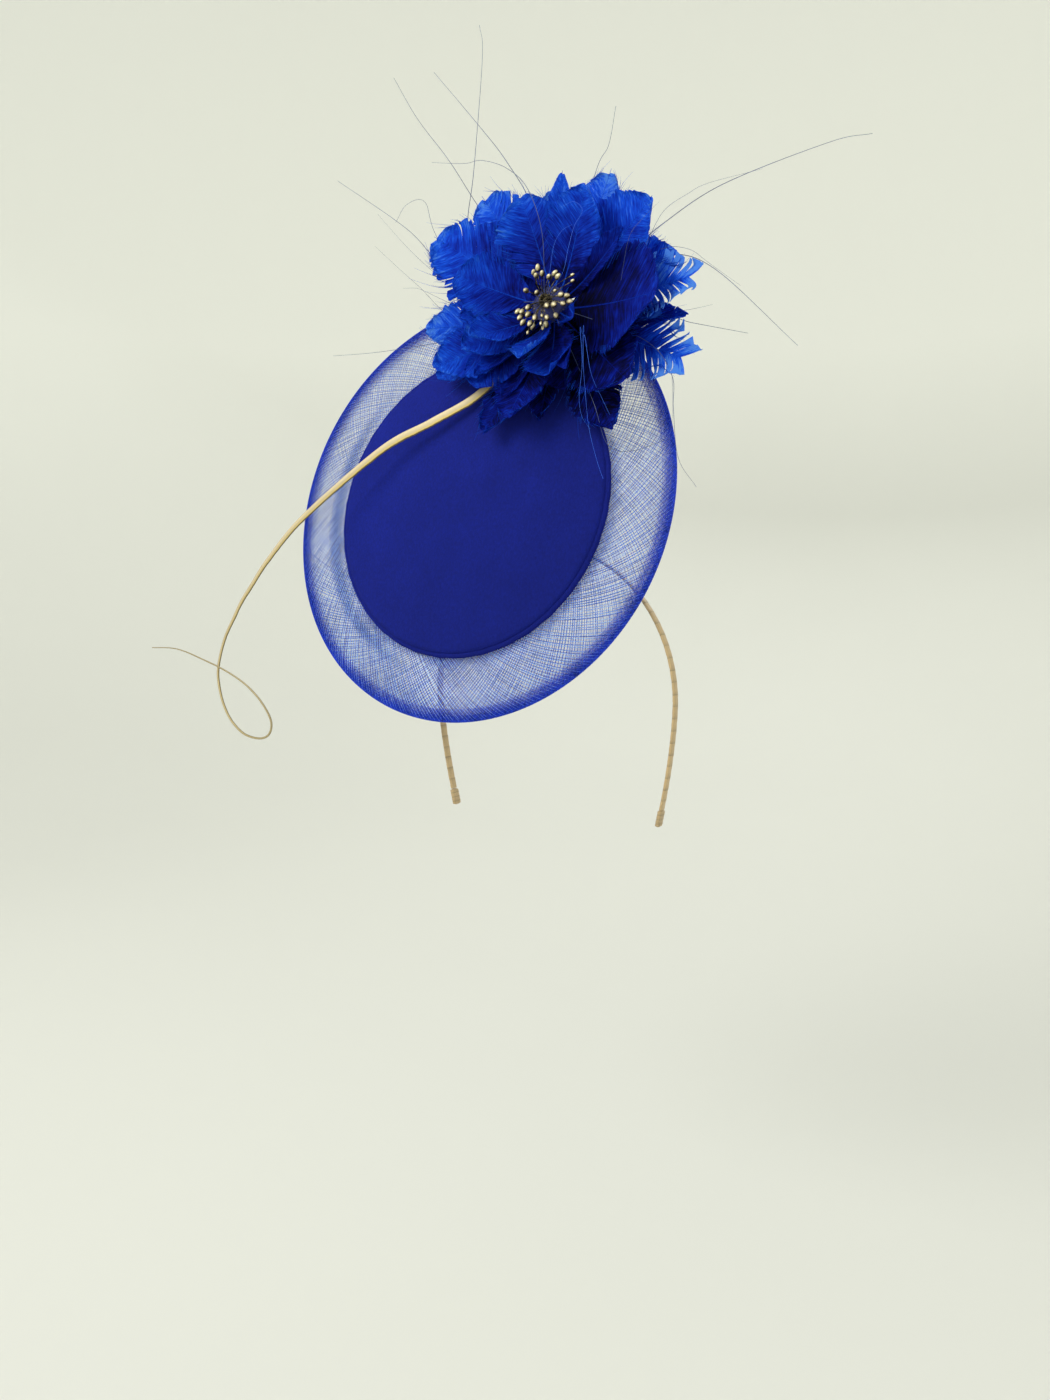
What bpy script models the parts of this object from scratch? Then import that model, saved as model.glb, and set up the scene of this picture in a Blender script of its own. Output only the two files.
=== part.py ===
"""Disc fascinator on a headband: shell base, crin brim, feather flower and curled quill.

Metres, +Z up. The wearer looks along -Y and the wearer's left is +X. The origin is the
inside of the headband at its top. The disc has its own plane, held by an empty: local X runs
to the wearer's left, local Y up the disc and local Z out of its face.
"""

import math

import bpy
from mathutils import Euler, Matrix, Vector

MM = 0.001
MERGE = 0.00005

# The flat headband, an arch in a plane that leans a little
BAND_HALF_WIDTH = 75 * MM
BAND_ARCH_HEIGHT = 82 * MM
BAND_LEG_LENGTH = 59 * MM
BAND_LEG_INWARD = 8 * MM
BAND_LEAN = math.radians(2)
BAND_STRIP_WIDTH = 5 * MM
BAND_STRIP_THICKNESS = 1.6 * MM
BAND_ARCH_SHARE = 0.68
BAND_STEPS = 56
TIP_LENGTH = 9.5 * MM
TIP_WIDTH = 6.6 * MM
TIP_THICKNESS = 2.6 * MM
SEAT_GAP = 0.3 * MM

# The disc's place on the head
DISC_CENTRE = (-51 * MM, 0.5 * MM, 26 * MM)
DISC_TIP_BACK = math.radians(13.5)

# The stiff base, a shell with a turned-down edge
BASE_RADIUS = 89.5 * MM
BASE_WALL = 2 * MM
BASE_BOTTOM = 2.05 * MM
BASE_EDGE_TOP = 6.6 * MM
BASE_CROWN = 11.2 * MM
BASE_STEPS = 56

# The brim, crin folded double at its outer edge
BRIM_RADIUS = 126.7 * MM
BRIM_INNER_RADIUS = 84 * MM
BRIM_TOP = 1.5 * MM
BRIM_UNDER = -1.6 * MM
BRIM_WALL = 1 * MM
BRIM_STEPS = 56

# The pad that sews the headband to the inside of the base
PAD_PLACE = (51 * MM, -24.5 * MM)
PAD_LENGTH = 30 * MM
PAD_WIDTH = 8 * MM
PAD_BACK = -2.5 * MM
PAD_FRONT = 5.85 * MM

# The flower's bound stem, standing on the brim
STEM_PLACE = (45.5 * MM, 109 * MM)
STEM_RADIUS = 9.7 * MM
STEM_BOTTOM = 2.1 * MM
STEM_TOP = 17 * MM
PETAL_ROOT_RADIUS = 10 * MM
PETAL_ROOT_WIDTH = 3.4 * MM
PETAL_THICKNESS = 1 * MM
PETAL_SHINGLE = 2.0 * MM
PETAL_SHOULDER = 0.62
PETAL_END = 0.40
PETAL_LONG_STEPS = 6
PETAL_CROSS_STEPS = 4

# Feather petals. Azimuth is in degrees round the stem, the rest in millimetres: reach from the
# stem's axis, height of the root and of the tip over the brim's plane, greatest width,
# and how far the edges curl up
PETAL_COLUMNS = ("name", "azimuth", "reach", "root", "tip", "width", "cup")
PETALS = (
    ("low_petal_1", 126, 91, 7.0, 20, 40, 3.0),
    ("low_petal_2", 95, 72, 7.0, 16, 22, 2.0),
    ("low_petal_3", 67, 80, 7.0, 19, 31, 2.0),
    ("low_petal_4", 12, 78, 7.0, 18, 38, 3.0),
    ("low_petal_5", 333, 96, 7.0, 22, 35, 3.0),
    ("low_petal_6", 303, 94, 7.0, 20, 33, 2.0),
    ("low_petal_7", 273, 70, 7.0, 18, 21, 2.0),
    ("low_petal_8", 248, 82, 7.0, 22, 24, 2.0),
    ("low_petal_9", 207, 80, 7.0, 18, 26, 2.0),
    ("low_petal_10", 183, 85, 7.0, 18, 31, 3.0),
    ("mid_petal_1", 107, 64, 10.0, 32, 40, 4.0),
    ("mid_petal_2", 35, 78, 10.0, 30, 47, 4.0),
    ("mid_petal_3", 356, 90, 10.0, 32, 30, 4.0),
    ("mid_petal_4", 317, 86, 10.0, 34, 45, 4.0),
    ("mid_petal_5", 262, 73, 10.0, 30, 31, 3.0),
    ("mid_petal_6", 210, 74, 10.0, 31, 40, 4.0),
    ("mid_petal_7", 149, 88, 10.0, 32, 45, 4.0),
    ("top_petal_1", 347, 82, 13.0, 44, 59, 5.0),
    ("top_petal_2", 62, 60, 13.0, 40, 35, 4.0),
    ("top_petal_3", 164, 55, 13.0, 38, 35, 4.0),
    ("top_petal_4", 215, 52, 13.0, 36, 31, 4.0),
    ("top_petal_5", 287, 54, 13.0, 35, 31, 4.0),
    ("inner_petal_1", 222, 43, 15.8, 46, 24, 3.0),
    ("inner_petal_2", 275, 46, 15.8, 47, 21, 3.0),
    ("inner_petal_3", 322, 46, 15.8, 50, 11, 1.5),
)

# Stamens: clusters of beaded wires on one knob. Angles in degrees, lengths in millimetres.
# azimuth and lean give the middle of a cluster, spread its width both ways
KNOB_RADIUS = 3.4 * MM
KNOB_HEIGHT = STEM_TOP + SEAT_GAP + KNOB_RADIUS
WIRE_RADIUS = 0.45 * MM
BEAD_RADIUS = 1.8 * MM
BEAD_HALF_LENGTH = 2.3 * MM
STAMEN_SIDES = 10
CLUSTER_COLUMNS = ("count", "azimuth", "lean", "spread", "length")
CLUSTERS = (
    (6, 118, 30, 22, 24),
    (5, 20, 22, 34, 19),
    (2, 170, 34, 14, 20),
    (10, 232, 40, 34, 22),
    (3, 275, 12, 40, 17),
)

# The quill, a flat ribbon that curls into a loop, as points in the disc's own frame (mm)
QUILL_ROUTE = (
    (38, 100.5, 5.0), (26, 88, 8.5), (4, 62, 13), (-24, 46, 17), (-55, 30, 21),
    (-100, -11, 29), (-123, -38, 33), (-136, -65, 36),
    (-143, -92, 38), (-142, -110, 39), (-136, -127, 39), (-115, -144, 39),
    (-102, -147, 40), (-92, -144, 42), (-91, -135, 44), (-101, -124, 46), (-117, -115, 48),
    (-133, -108, 49), (-158, -101, 50), (-187, -98, 52),
)
QUILL_ROOT_WIDTH = 4 * MM
QUILL_TIP_WIDTH = 0.9 * MM
QUILL_THICKNESS = 1.1 * MM
QUILL_STEPS = 64

# The longest bare strands, as points in the disc's own frame (mm). Each leaves the stem
# under the lowest petals
STRAND_DIAMETER = 1.0 * MM
STRAND_START_HEIGHT = 4.2
STRAND_STEPS = 11
STRANDS = (
    ("strand_1", 107, ((24, 172, 11), (10, 197, 24), (-6, 217, 34), (-34, 249, 46))),
    ("strand_2", 147, ((-14, 154, 9), (-17, 168, 17), (-8, 192, 30), (1, 248, 48), (-1, 265, 52))),
    ("strand_3", 133, ((-11, 176, 9), (-28, 203, 28), (-44, 224, 43), (-56, 245, 55))),
    ("strand_4", 80, ((60, 188, 8), (70, 200, 14), (74, 220, 18))),
    ("strand_5", 38, ((90, 142, 4.5), (104, 151, 6), (136, 169, 4), (188, 189, -8), (208, 193, -14))),
    ("strand_6", 157, ((-30, 144, 9), (-53, 165, 28), (-93, 191, 50))),
    ("strand_7", 22, ((100, 129, 5), (116, 132, 6), (139, 120, 2), (180, 81, -12))),
    ("strand_8", 350, ((110, 98, 6), (130, 90, 9), (158, 84, 2))),
)

COLOURS = {
    "crepe": ((0.012, 0.022, 0.30), 0.75, 0.0),
    "crin": ((0.10, 0.13, 0.62), 0.45, 0.0),
    "feather": ((0.004, 0.022, 0.42), 0.60, 0.0),
    "gold": ((0.62, 0.48, 0.22), 0.35, 1.0),
    "gilt_quill": ((0.70, 0.55, 0.24), 0.40, 0.6),
    "satin": ((0.50, 0.36, 0.18), 0.45, 0.2),
    "felt": ((0.02, 0.03, 0.12), 0.90, 0.0),
}


def clear_scene():
    for thing in list(bpy.data.objects):
        bpy.data.objects.remove(thing, do_unlink=True)


def make_collection(name):
    collection = bpy.data.collections.new(name)
    bpy.context.scene.collection.children.link(collection)
    return collection


def make_material(name):
    colour, roughness, metallic = COLOURS[name]
    material = bpy.data.materials.new(name)
    material.use_nodes = True
    shader = material.node_tree.nodes["Principled BSDF"]
    shader.inputs["Base Color"].default_value = (*colour, 1)
    shader.inputs["Roughness"].default_value = roughness
    shader.inputs["Metallic"].default_value = metallic
    material.diffuse_color = (*colour, 1)
    return material


def move_to(thing, collection):
    for old in list(thing.users_collection):
        old.objects.unlink(thing)
    collection.objects.link(thing)


def finish_piece(thing, name, material, parent=None, smooth=True):
    thing.name = name
    thing.data.name = name
    thing.data.materials.clear()
    thing.data.materials.append(MATERIALS[material])
    move_to(thing, PIECES)
    if parent is not None:
        thing.parent = parent
    if smooth and thing.type == "MESH":
        thing.data.shade_smooth()
        thing.data.set_sharp_from_angle(angle=math.radians(40))
    return thing


def shaped_grid(long_steps, cross_steps, shape):
    """A grid primitive whose two coordinates, 0..1 along and -1..1 across, go through shape."""
    bpy.ops.mesh.primitive_grid_add(x_subdivisions=long_steps, y_subdivisions=cross_steps, size=2)
    grid = bpy.context.object
    for vertex in grid.data.vertices:
        along = (vertex.co.x + 1) / 2
        vertex.co = shape(along, vertex.co.y)
    return grid


def add_wall(thing, thickness, offset):
    wall = thing.modifiers.new("wall", "SOLIDIFY")
    wall.thickness = thickness
    wall.offset = offset
    wall.use_even_offset = True
    return wall


def turned_surface(profile, steps):
    """A profile of (radius, height) pairs, top to bottom on its outer side, turned about Z."""
    mesh = bpy.data.meshes.new("turned")
    points = [(radius, 0, height) for radius, height in profile]
    mesh.from_pydata(points, [(k, k + 1) for k in range(len(points) - 1)], [])
    turned = bpy.data.objects.new("turned", mesh)
    PIECES.objects.link(turned)
    screw = turned.modifiers.new("turn", "SCREW")
    screw.axis = "Z"
    screw.steps = steps
    screw.render_steps = steps
    screw.use_merge_vertices = True
    screw.merge_threshold = MERGE
    return turned


def smooth_route(points, steps):
    """Evenly spaced samples of a Catmull-Rom curve through the points."""
    knots = [Vector(p) for p in points]
    knots = [2 * knots[0] - knots[1]] + knots + [2 * knots[-1] - knots[-2]]
    fine = []
    for k in range(1, len(knots) - 2):
        before, start, end, after = knots[k - 1:k + 3]
        for j in range(20):
            t = j / 20
            fine.append(0.5 * (2 * start + (end - before) * t
                               + (2 * before - 5 * start + 4 * end - after) * t * t
                               + (3 * start - before - 3 * end + after) * t ** 3))
    fine.append(knots[-2])
    lengths = [0.0]
    for first, second in zip(fine, fine[1:]):
        lengths.append(lengths[-1] + (second - first).length)
    route = []
    place = 0
    for k in range(steps + 1):
        want = lengths[-1] * k / steps
        while place < len(fine) - 2 and lengths[place + 1] < want:
            place += 1
        share = (want - lengths[place]) / (lengths[place + 1] - lengths[place])
        route.append(fine[place].lerp(fine[place + 1], share))
    return route


def band_point(share):
    """The strip's inner line: share -1..1 from the right tip over the top to the left tip."""
    side = math.copysign(1, share)
    part = abs(share)
    if part < BAND_ARCH_SHARE:
        angle = part / BAND_ARCH_SHARE * math.pi / 2
        across = BAND_HALF_WIDTH * math.sin(angle)
        down = BAND_ARCH_HEIGHT * (1 - math.cos(angle))
    else:
        leg = (part - BAND_ARCH_SHARE) / (1 - BAND_ARCH_SHARE)
        across = BAND_HALF_WIDTH - BAND_LEG_INWARD * leg ** 1.6
        down = BAND_ARCH_HEIGHT + BAND_LEG_LENGTH * leg
    return Vector((side * across, down * math.sin(BAND_LEAN), -down * math.cos(BAND_LEAN)))


def make_headband():
    def shape(along, across):
        point = band_point(2 * along - 1)
        point.y += across * BAND_STRIP_WIDTH / 2
        return point

    band = shaped_grid(BAND_STEPS, 1, shape)
    add_wall(band, BAND_STRIP_THICKNESS, 1)
    finish_piece(band, "headband", "satin")


def make_band_tip(side, name):
    """The wrapped metal end that closes each leg, in line with the strip."""
    end = band_point(side)
    before = band_point(side * 0.97)
    down = (end - before).normalized()
    outward = Vector((0, 1, 0)).cross(down) * -side
    if outward.x * side < 0:
        outward.negate()
    middle = end + down * (SEAT_GAP + TIP_LENGTH / 2) + outward * BAND_STRIP_THICKNESS / 2
    bpy.ops.mesh.primitive_cube_add(size=1, location=(0, 0, 0))
    tip = bpy.context.object
    turn = Matrix((outward, Vector((0, 1, 0)), down)).transposed().to_4x4()
    size = Matrix.Diagonal((TIP_THICKNESS, TIP_WIDTH, TIP_LENGTH, 1))
    tip.data.transform(size)
    if turn.determinant() < 0:
        turn = turn @ Matrix.Diagonal((1, -1, 1, 1))
    tip.matrix_world = Matrix.Translation(middle) @ turn
    bevel = tip.modifiers.new("round", "BEVEL")
    bevel.width = 0.9 * MM
    bevel.segments = 2
    finish_piece(tip, name, "satin")


def make_base(disc):
    """A shallow dome with a rounded, turned-down edge, hollow and open below."""
    rise = BASE_CROWN - BASE_EDGE_TOP
    profile = [(0, BASE_CROWN)]
    for radius in (22, 44, 62, 76):
        share = radius * MM / BASE_RADIUS
        profile.append((radius * MM, BASE_CROWN - rise * share ** 2))
    profile.append((84.5 * MM, BASE_EDGE_TOP + 0.5 * MM))
    profile.append((88.4 * MM, BASE_EDGE_TOP - 0.5 * MM))
    profile.append((BASE_RADIUS, BASE_EDGE_TOP - 1.8 * MM))
    profile.append((BASE_RADIUS, BASE_BOTTOM))
    base = turned_surface(profile, BASE_STEPS)
    add_wall(base, BASE_WALL, -1)
    finish_piece(base, "base", "crepe", disc)


def make_brim(disc):
    """One strip of crin, folded double round the outer edge, both layers tucked under the base."""
    profile = (
        (BRIM_INNER_RADIUS, BRIM_TOP),
        (94 * MM, BRIM_TOP + 0.4 * MM),
        (112 * MM, BRIM_TOP + 0.3 * MM),
        (123 * MM, BRIM_TOP - 0.3 * MM),
        (BRIM_RADIUS, 0),
        (123 * MM, BRIM_UNDER + 0.3 * MM),
        (106 * MM, BRIM_UNDER - 0.2 * MM),
        (BRIM_INNER_RADIUS, BRIM_UNDER),
    )
    brim = turned_surface(profile, BRIM_STEPS)
    add_wall(brim, BRIM_WALL, -1)
    finish_piece(brim, "brim", "crin", disc)


def make_sewing_pad(disc):
    """The hidden felt block between the headband's front edge and the inside of the base."""
    depth = PAD_FRONT - PAD_BACK
    middle = (*PAD_PLACE, (PAD_FRONT + PAD_BACK) / 2)
    bpy.ops.mesh.primitive_cube_add(size=1)
    pad = bpy.context.object
    pad.data.transform(Matrix.Diagonal((PAD_LENGTH, PAD_WIDTH, depth, 1)))
    bevel = pad.modifiers.new("round", "BEVEL")
    bevel.width = 1 * MM
    bevel.segments = 2
    finish_piece(pad, "sewing_pad", "felt", disc)
    pad.location = middle


def make_flower_stem(disc):
    height = STEM_TOP - STEM_BOTTOM
    bpy.ops.mesh.primitive_cylinder_add(vertices=24, radius=STEM_RADIUS, depth=height)
    stem = bpy.context.object
    finish_piece(stem, "flower_stem", "feather", disc)
    stem.location = (*STEM_PLACE, (STEM_TOP + STEM_BOTTOM) / 2)


def feather_width(along, width):
    """Half the width of a feather petal: a slim root, a full shoulder and a round end."""
    if along < PETAL_SHOULDER:
        body = math.sin(math.pi / 2 * along / PETAL_SHOULDER) ** 1.3
    else:
        body = math.sqrt(1 - ((along - PETAL_SHOULDER) / PETAL_END) ** 2)
    root = PETAL_ROOT_WIDTH / 2 * (1 - along) ** 2
    return root + body * (width / 2 - root)


def make_petal(disc, row):
    petal = dict(zip(PETAL_COLUMNS, row))
    azimuth = math.radians(petal["azimuth"])
    outward = Vector((math.cos(azimuth), math.sin(azimuth), 0))
    sideways = Vector((-math.sin(azimuth), math.cos(azimuth), 0))
    foot = Vector((*STEM_PLACE, 0))

    def shape(along, across):
        distance = PETAL_ROOT_RADIUS + (petal["reach"] * MM - PETAL_ROOT_RADIUS) * along
        height = petal["root"] + (petal["tip"] - petal["root"]) * along ** 1.2
        height += petal["cup"] * across ** 2 * math.sin(math.pi * min(1, along * 0.9)) * along
        shingle = PETAL_SHINGLE * across * math.sin(math.pi * along ** 0.7)
        side = across * feather_width(along, petal["width"] * MM)
        tuck = abs(across) ** 3 * 3 * MM * along
        lift = Vector((0, 0, height * MM + shingle))
        return foot + outward * (distance - tuck) + sideways * side + lift

    feather = shaped_grid(PETAL_LONG_STEPS, PETAL_CROSS_STEPS, shape)
    add_wall(feather, PETAL_THICKNESS, 0)
    finish_piece(feather, petal["name"], "feather", disc)


def stamen_directions():
    """Unit directions of the wires with their lengths, spread evenly inside each cluster."""
    golden = math.pi * (3 - math.sqrt(5))
    for row in CLUSTERS:
        cluster = dict(zip(CLUSTER_COLUMNS, row))
        for k in range(cluster["count"]):
            out = math.sqrt((k + 0.5) / cluster["count"]) * cluster["spread"]
            azimuth = math.radians(cluster["azimuth"] + out * math.cos(k * golden))
            lean = math.radians(cluster["lean"] + out * 0.75 * math.sin(k * golden))
            direction = Vector((math.sin(lean) * math.cos(azimuth),
                                math.sin(lean) * math.sin(azimuth), math.cos(lean)))
            yield direction, (cluster["length"] + (k % 3 - 1) * 1.5) * MM


def make_stamen(direction, length):
    """A wire with an oval bead on its end, turned as one profile."""
    profile = (
        (0, length + BEAD_HALF_LENGTH),
        (BEAD_RADIUS * 0.8, length + BEAD_HALF_LENGTH * 0.6),
        (BEAD_RADIUS, length - BEAD_HALF_LENGTH * 0.15),
        (WIRE_RADIUS, length - BEAD_HALF_LENGTH),
        (WIRE_RADIUS, KNOB_RADIUS * 0.5),
        (0, KNOB_RADIUS * 0.5),
    )
    stamen = turned_surface(profile, STAMEN_SIDES)
    stamen.matrix_world = direction.to_track_quat("Z", "Y").to_matrix().to_4x4()
    stamen.hide_render = True
    stamen.display_type = "WIRE"
    move_to(stamen, CUTTERS)


def make_stamens(disc):
    """The beaded wires, joined to their knob as one solid."""
    bpy.ops.mesh.primitive_uv_sphere_add(segments=16, ring_count=8, radius=KNOB_RADIUS)
    knob = bpy.context.object
    for direction, length in stamen_directions():
        make_stamen(direction, length)
    joined = knob.modifiers.new("join", "BOOLEAN")
    joined.operation = "UNION"
    joined.operand_type = "COLLECTION"
    joined.collection = CUTTERS
    mesh = bpy.data.meshes.new_from_object(knob.evaluated_get(bpy.context.evaluated_depsgraph_get()))
    bpy.data.objects.remove(knob, do_unlink=True)
    stamens = bpy.data.objects.new("stamens", mesh)
    PIECES.objects.link(stamens)
    finish_piece(stamens, "stamens", "gold", disc)
    stamens.location = (*STEM_PLACE, KNOB_HEIGHT)


def make_quill(disc):
    """A flat ribbon that narrows to its tip, its flat side towards the front of the disc."""
    route = smooth_route([Vector(p) * MM for p in QUILL_ROUTE], QUILL_STEPS)
    front = Vector((0.25, -0.15, 0.95)).normalized()

    def shape(along, across):
        k = round(along * QUILL_STEPS)
        ahead = route[min(k + 1, QUILL_STEPS)]
        behind = route[max(k - 1, 0)]
        side = front.cross(ahead - behind).normalized()
        half = (QUILL_ROOT_WIDTH + (QUILL_TIP_WIDTH - QUILL_ROOT_WIDTH) * along ** 0.8) / 2
        return route[k] + side * across * half

    quill = shaped_grid(QUILL_STEPS, 1, shape)
    add_wall(quill, QUILL_THICKNESS, 0)
    finish_piece(quill, "quill", "gilt_quill", disc)


def make_strand(disc, name, azimuth, points):
    """One long bare strand, a thin round wire."""
    angle = math.radians(azimuth)
    start = Vector((STEM_PLACE[0] + PETAL_ROOT_RADIUS * math.cos(angle),
                    STEM_PLACE[1] + PETAL_ROOT_RADIUS * math.sin(angle),
                    STRAND_START_HEIGHT * MM))
    route = smooth_route([start] + [Vector(p) * MM for p in points], STRAND_STEPS)
    data = bpy.data.curves.new(name, "CURVE")
    data.dimensions = "3D"
    data.bevel_depth = STRAND_DIAMETER / 2
    data.bevel_resolution = 1
    data.use_fill_caps = True
    spline = data.splines.new("POLY")
    spline.points.add(len(route) - 1)
    for point, place in zip(spline.points, route):
        point.co = (*place, 1)
    strand = bpy.data.objects.new(name, data)
    PIECES.objects.link(strand)
    finish_piece(strand, name, "feather", disc)


def make_disc_plane():
    disc = bpy.data.objects.new("disc_plane", None)
    disc.location = DISC_CENTRE
    disc.rotation_euler = Euler((math.pi / 2 - DISC_TIP_BACK, 0, 0))
    PIECES.objects.link(disc)
    return disc


def main():
    make_headband()
    make_band_tip(1, "band_tip_left")
    make_band_tip(-1, "band_tip_right")
    disc = make_disc_plane()
    make_base(disc)
    make_brim(disc)
    make_sewing_pad(disc)
    make_flower_stem(disc)
    for row in PETALS:
        make_petal(disc, row)
    make_stamens(disc)
    make_quill(disc)
    for name, azimuth, points in STRANDS:
        make_strand(disc, name, azimuth, points)


clear_scene()
PIECES = make_collection("fascinator")
CUTTERS = make_collection("stamen_wires")
MATERIALS = {name: make_material(name) for name in COLOURS}
main()
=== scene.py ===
"""Fine finish of a disc fascinator: crepe base, crin brim, feather flower and curled quill.

Metres, +Z up. The wearer looks along -Y. Sizes marked mm are in the disc's own frame, where u
runs to the wearer's left, v up the disc and n out of its face.
"""

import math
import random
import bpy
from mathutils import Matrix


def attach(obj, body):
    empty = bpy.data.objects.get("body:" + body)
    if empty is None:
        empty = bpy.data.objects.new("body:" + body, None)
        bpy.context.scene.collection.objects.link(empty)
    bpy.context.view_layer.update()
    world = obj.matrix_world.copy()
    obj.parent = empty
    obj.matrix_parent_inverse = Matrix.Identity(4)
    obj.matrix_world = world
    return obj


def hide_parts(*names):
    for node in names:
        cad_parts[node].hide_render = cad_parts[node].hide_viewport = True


bl_info = {
    "name": "Feather Fascinator",
    "version": (1, 0, 0),
    "blender": (4, 5, 0),
    "location": "View3D > Sidebar > Fascinator",
    "description": "Models the crepe, crin, feather and gilt finish of a disc fascinator",
    "category": "Object",
}

import bpy
from bpy.props import FloatProperty, FloatVectorProperty, PointerProperty
from mathutils import Euler, Matrix, Vector

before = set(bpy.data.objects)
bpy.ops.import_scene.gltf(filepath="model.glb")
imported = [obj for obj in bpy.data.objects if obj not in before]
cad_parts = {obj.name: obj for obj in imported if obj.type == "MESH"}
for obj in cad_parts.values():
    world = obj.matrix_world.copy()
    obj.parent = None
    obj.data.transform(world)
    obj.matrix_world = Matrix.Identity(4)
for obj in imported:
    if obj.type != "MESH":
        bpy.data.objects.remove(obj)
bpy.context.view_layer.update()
MM = 0.001

# The disc's plane above the headband
DISC_CENTRE = Vector((-51, 0.5, 26)) * MM
DISC_TIP_BACK = math.radians(13.5)
DISC = Matrix.Translation(DISC_CENTRE) @ Euler((math.pi / 2 - DISC_TIP_BACK, 0, 0)).to_matrix().to_4x4()

# Headband
BAND_HALF_WIDTH = 75
BAND_ARCH_HEIGHT = 82
BAND_LEG_LENGTH = 59
BAND_LEG_INWARD = 8
BAND_LEAN = math.radians(2)
BAND_ARCH_SHARE = 0.68
BAND_TIP_GAP = 0.3
BAND_TIP_LENGTH = 9.5
BAND_MIDDLE = 0.8
# Section and winding in mm: width, thickness, pitch of the ribbon and height of its laps
BAND_SECTION = (4.8, 1.5)
BAND_LAP_HEIGHT = 0.16
TIP_SECTION = (6.2, 2.3)
TIP_PITCH = 2.6
TIP_LAP_HEIGHT = 0.18
TIP_ROUNDING = 1.2

# Base and brim in mm, their profiles as (radius, height)
BASE_RADIUS = 89.5
BASE_WALL = 2
BASE_SAG = 0.10
ROLL_RADIUS = 88.7
ROLL_HEIGHT = 3.75
ROLL_THICKNESS = 3.4
BASE_PROFILE = (
    (0, 11.2), (22, 10.92), (44, 10.09), (62, 8.99), (76, 7.88), (83.5, 7.15), (86.8, 6.55),
    (87.9, 5.7), (88.1, 4.4), (88.2, 2.05),
)
BRIM_PROFILE = (
    (84, 1.5), (94, 1.9), (112, 1.8), (123, 1.2), (126, 0.55), (126.6, 0), (126, -0.6),
    (123, -1.3), (106, -1.8), (84, -1.6),
)
BRIM_MIDDLE = 105
BRIM_RIPPLE = 0.14
BRIM_RIPPLE_START = 96
HAZE_INSET = 0.42
FOLD_RADIUS = 126.35
FOLD_DEPTH = 7.0
FOLD_RINGS = 15
FOLD_RISE = 1.6
FOLD_THREAD = 0.2
# How the threads crowd at the fold and stray from an even spacing, and their thickness round the
# brim as shares of the thread's width: the middle value and the swell towards the lower side
FOLD_CROWDING = 1.35
THREAD_STRAY = 0.28
THREAD_SHARE = 0.86
THREAD_SWELL = 0.22
# Painted shade: shares of the crin colour that darken the right-slanting family of threads, as if it lay
# in shade under the other.
DEEP_THREAD_SHADE = (0.04, 0.12, 0.56)

# Flower, mm
STEM_PLACE = (45.5, 109)
STEM_RADIUS = 9.7
STEM_BOTTOM = 2.1
KNOB_HEIGHT = 20.7
KNOB_RADIUS = 3.4
KNOB_TURNS = 14
KNOB_THREAD_SHARE = 1.4
STAMEN_WIRE = 0.46
STEM_TURNS = 22
STEM_PITCH = 0.68
STEM_THREAD = 0.62
PETAL_ROOT_RADIUS = 10
PETAL_ROOT_WIDTH = 3.4
PETAL_SHINGLE = 2.0
PETAL_SHOULDER = 0.62
PETAL_END = 0.383
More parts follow.
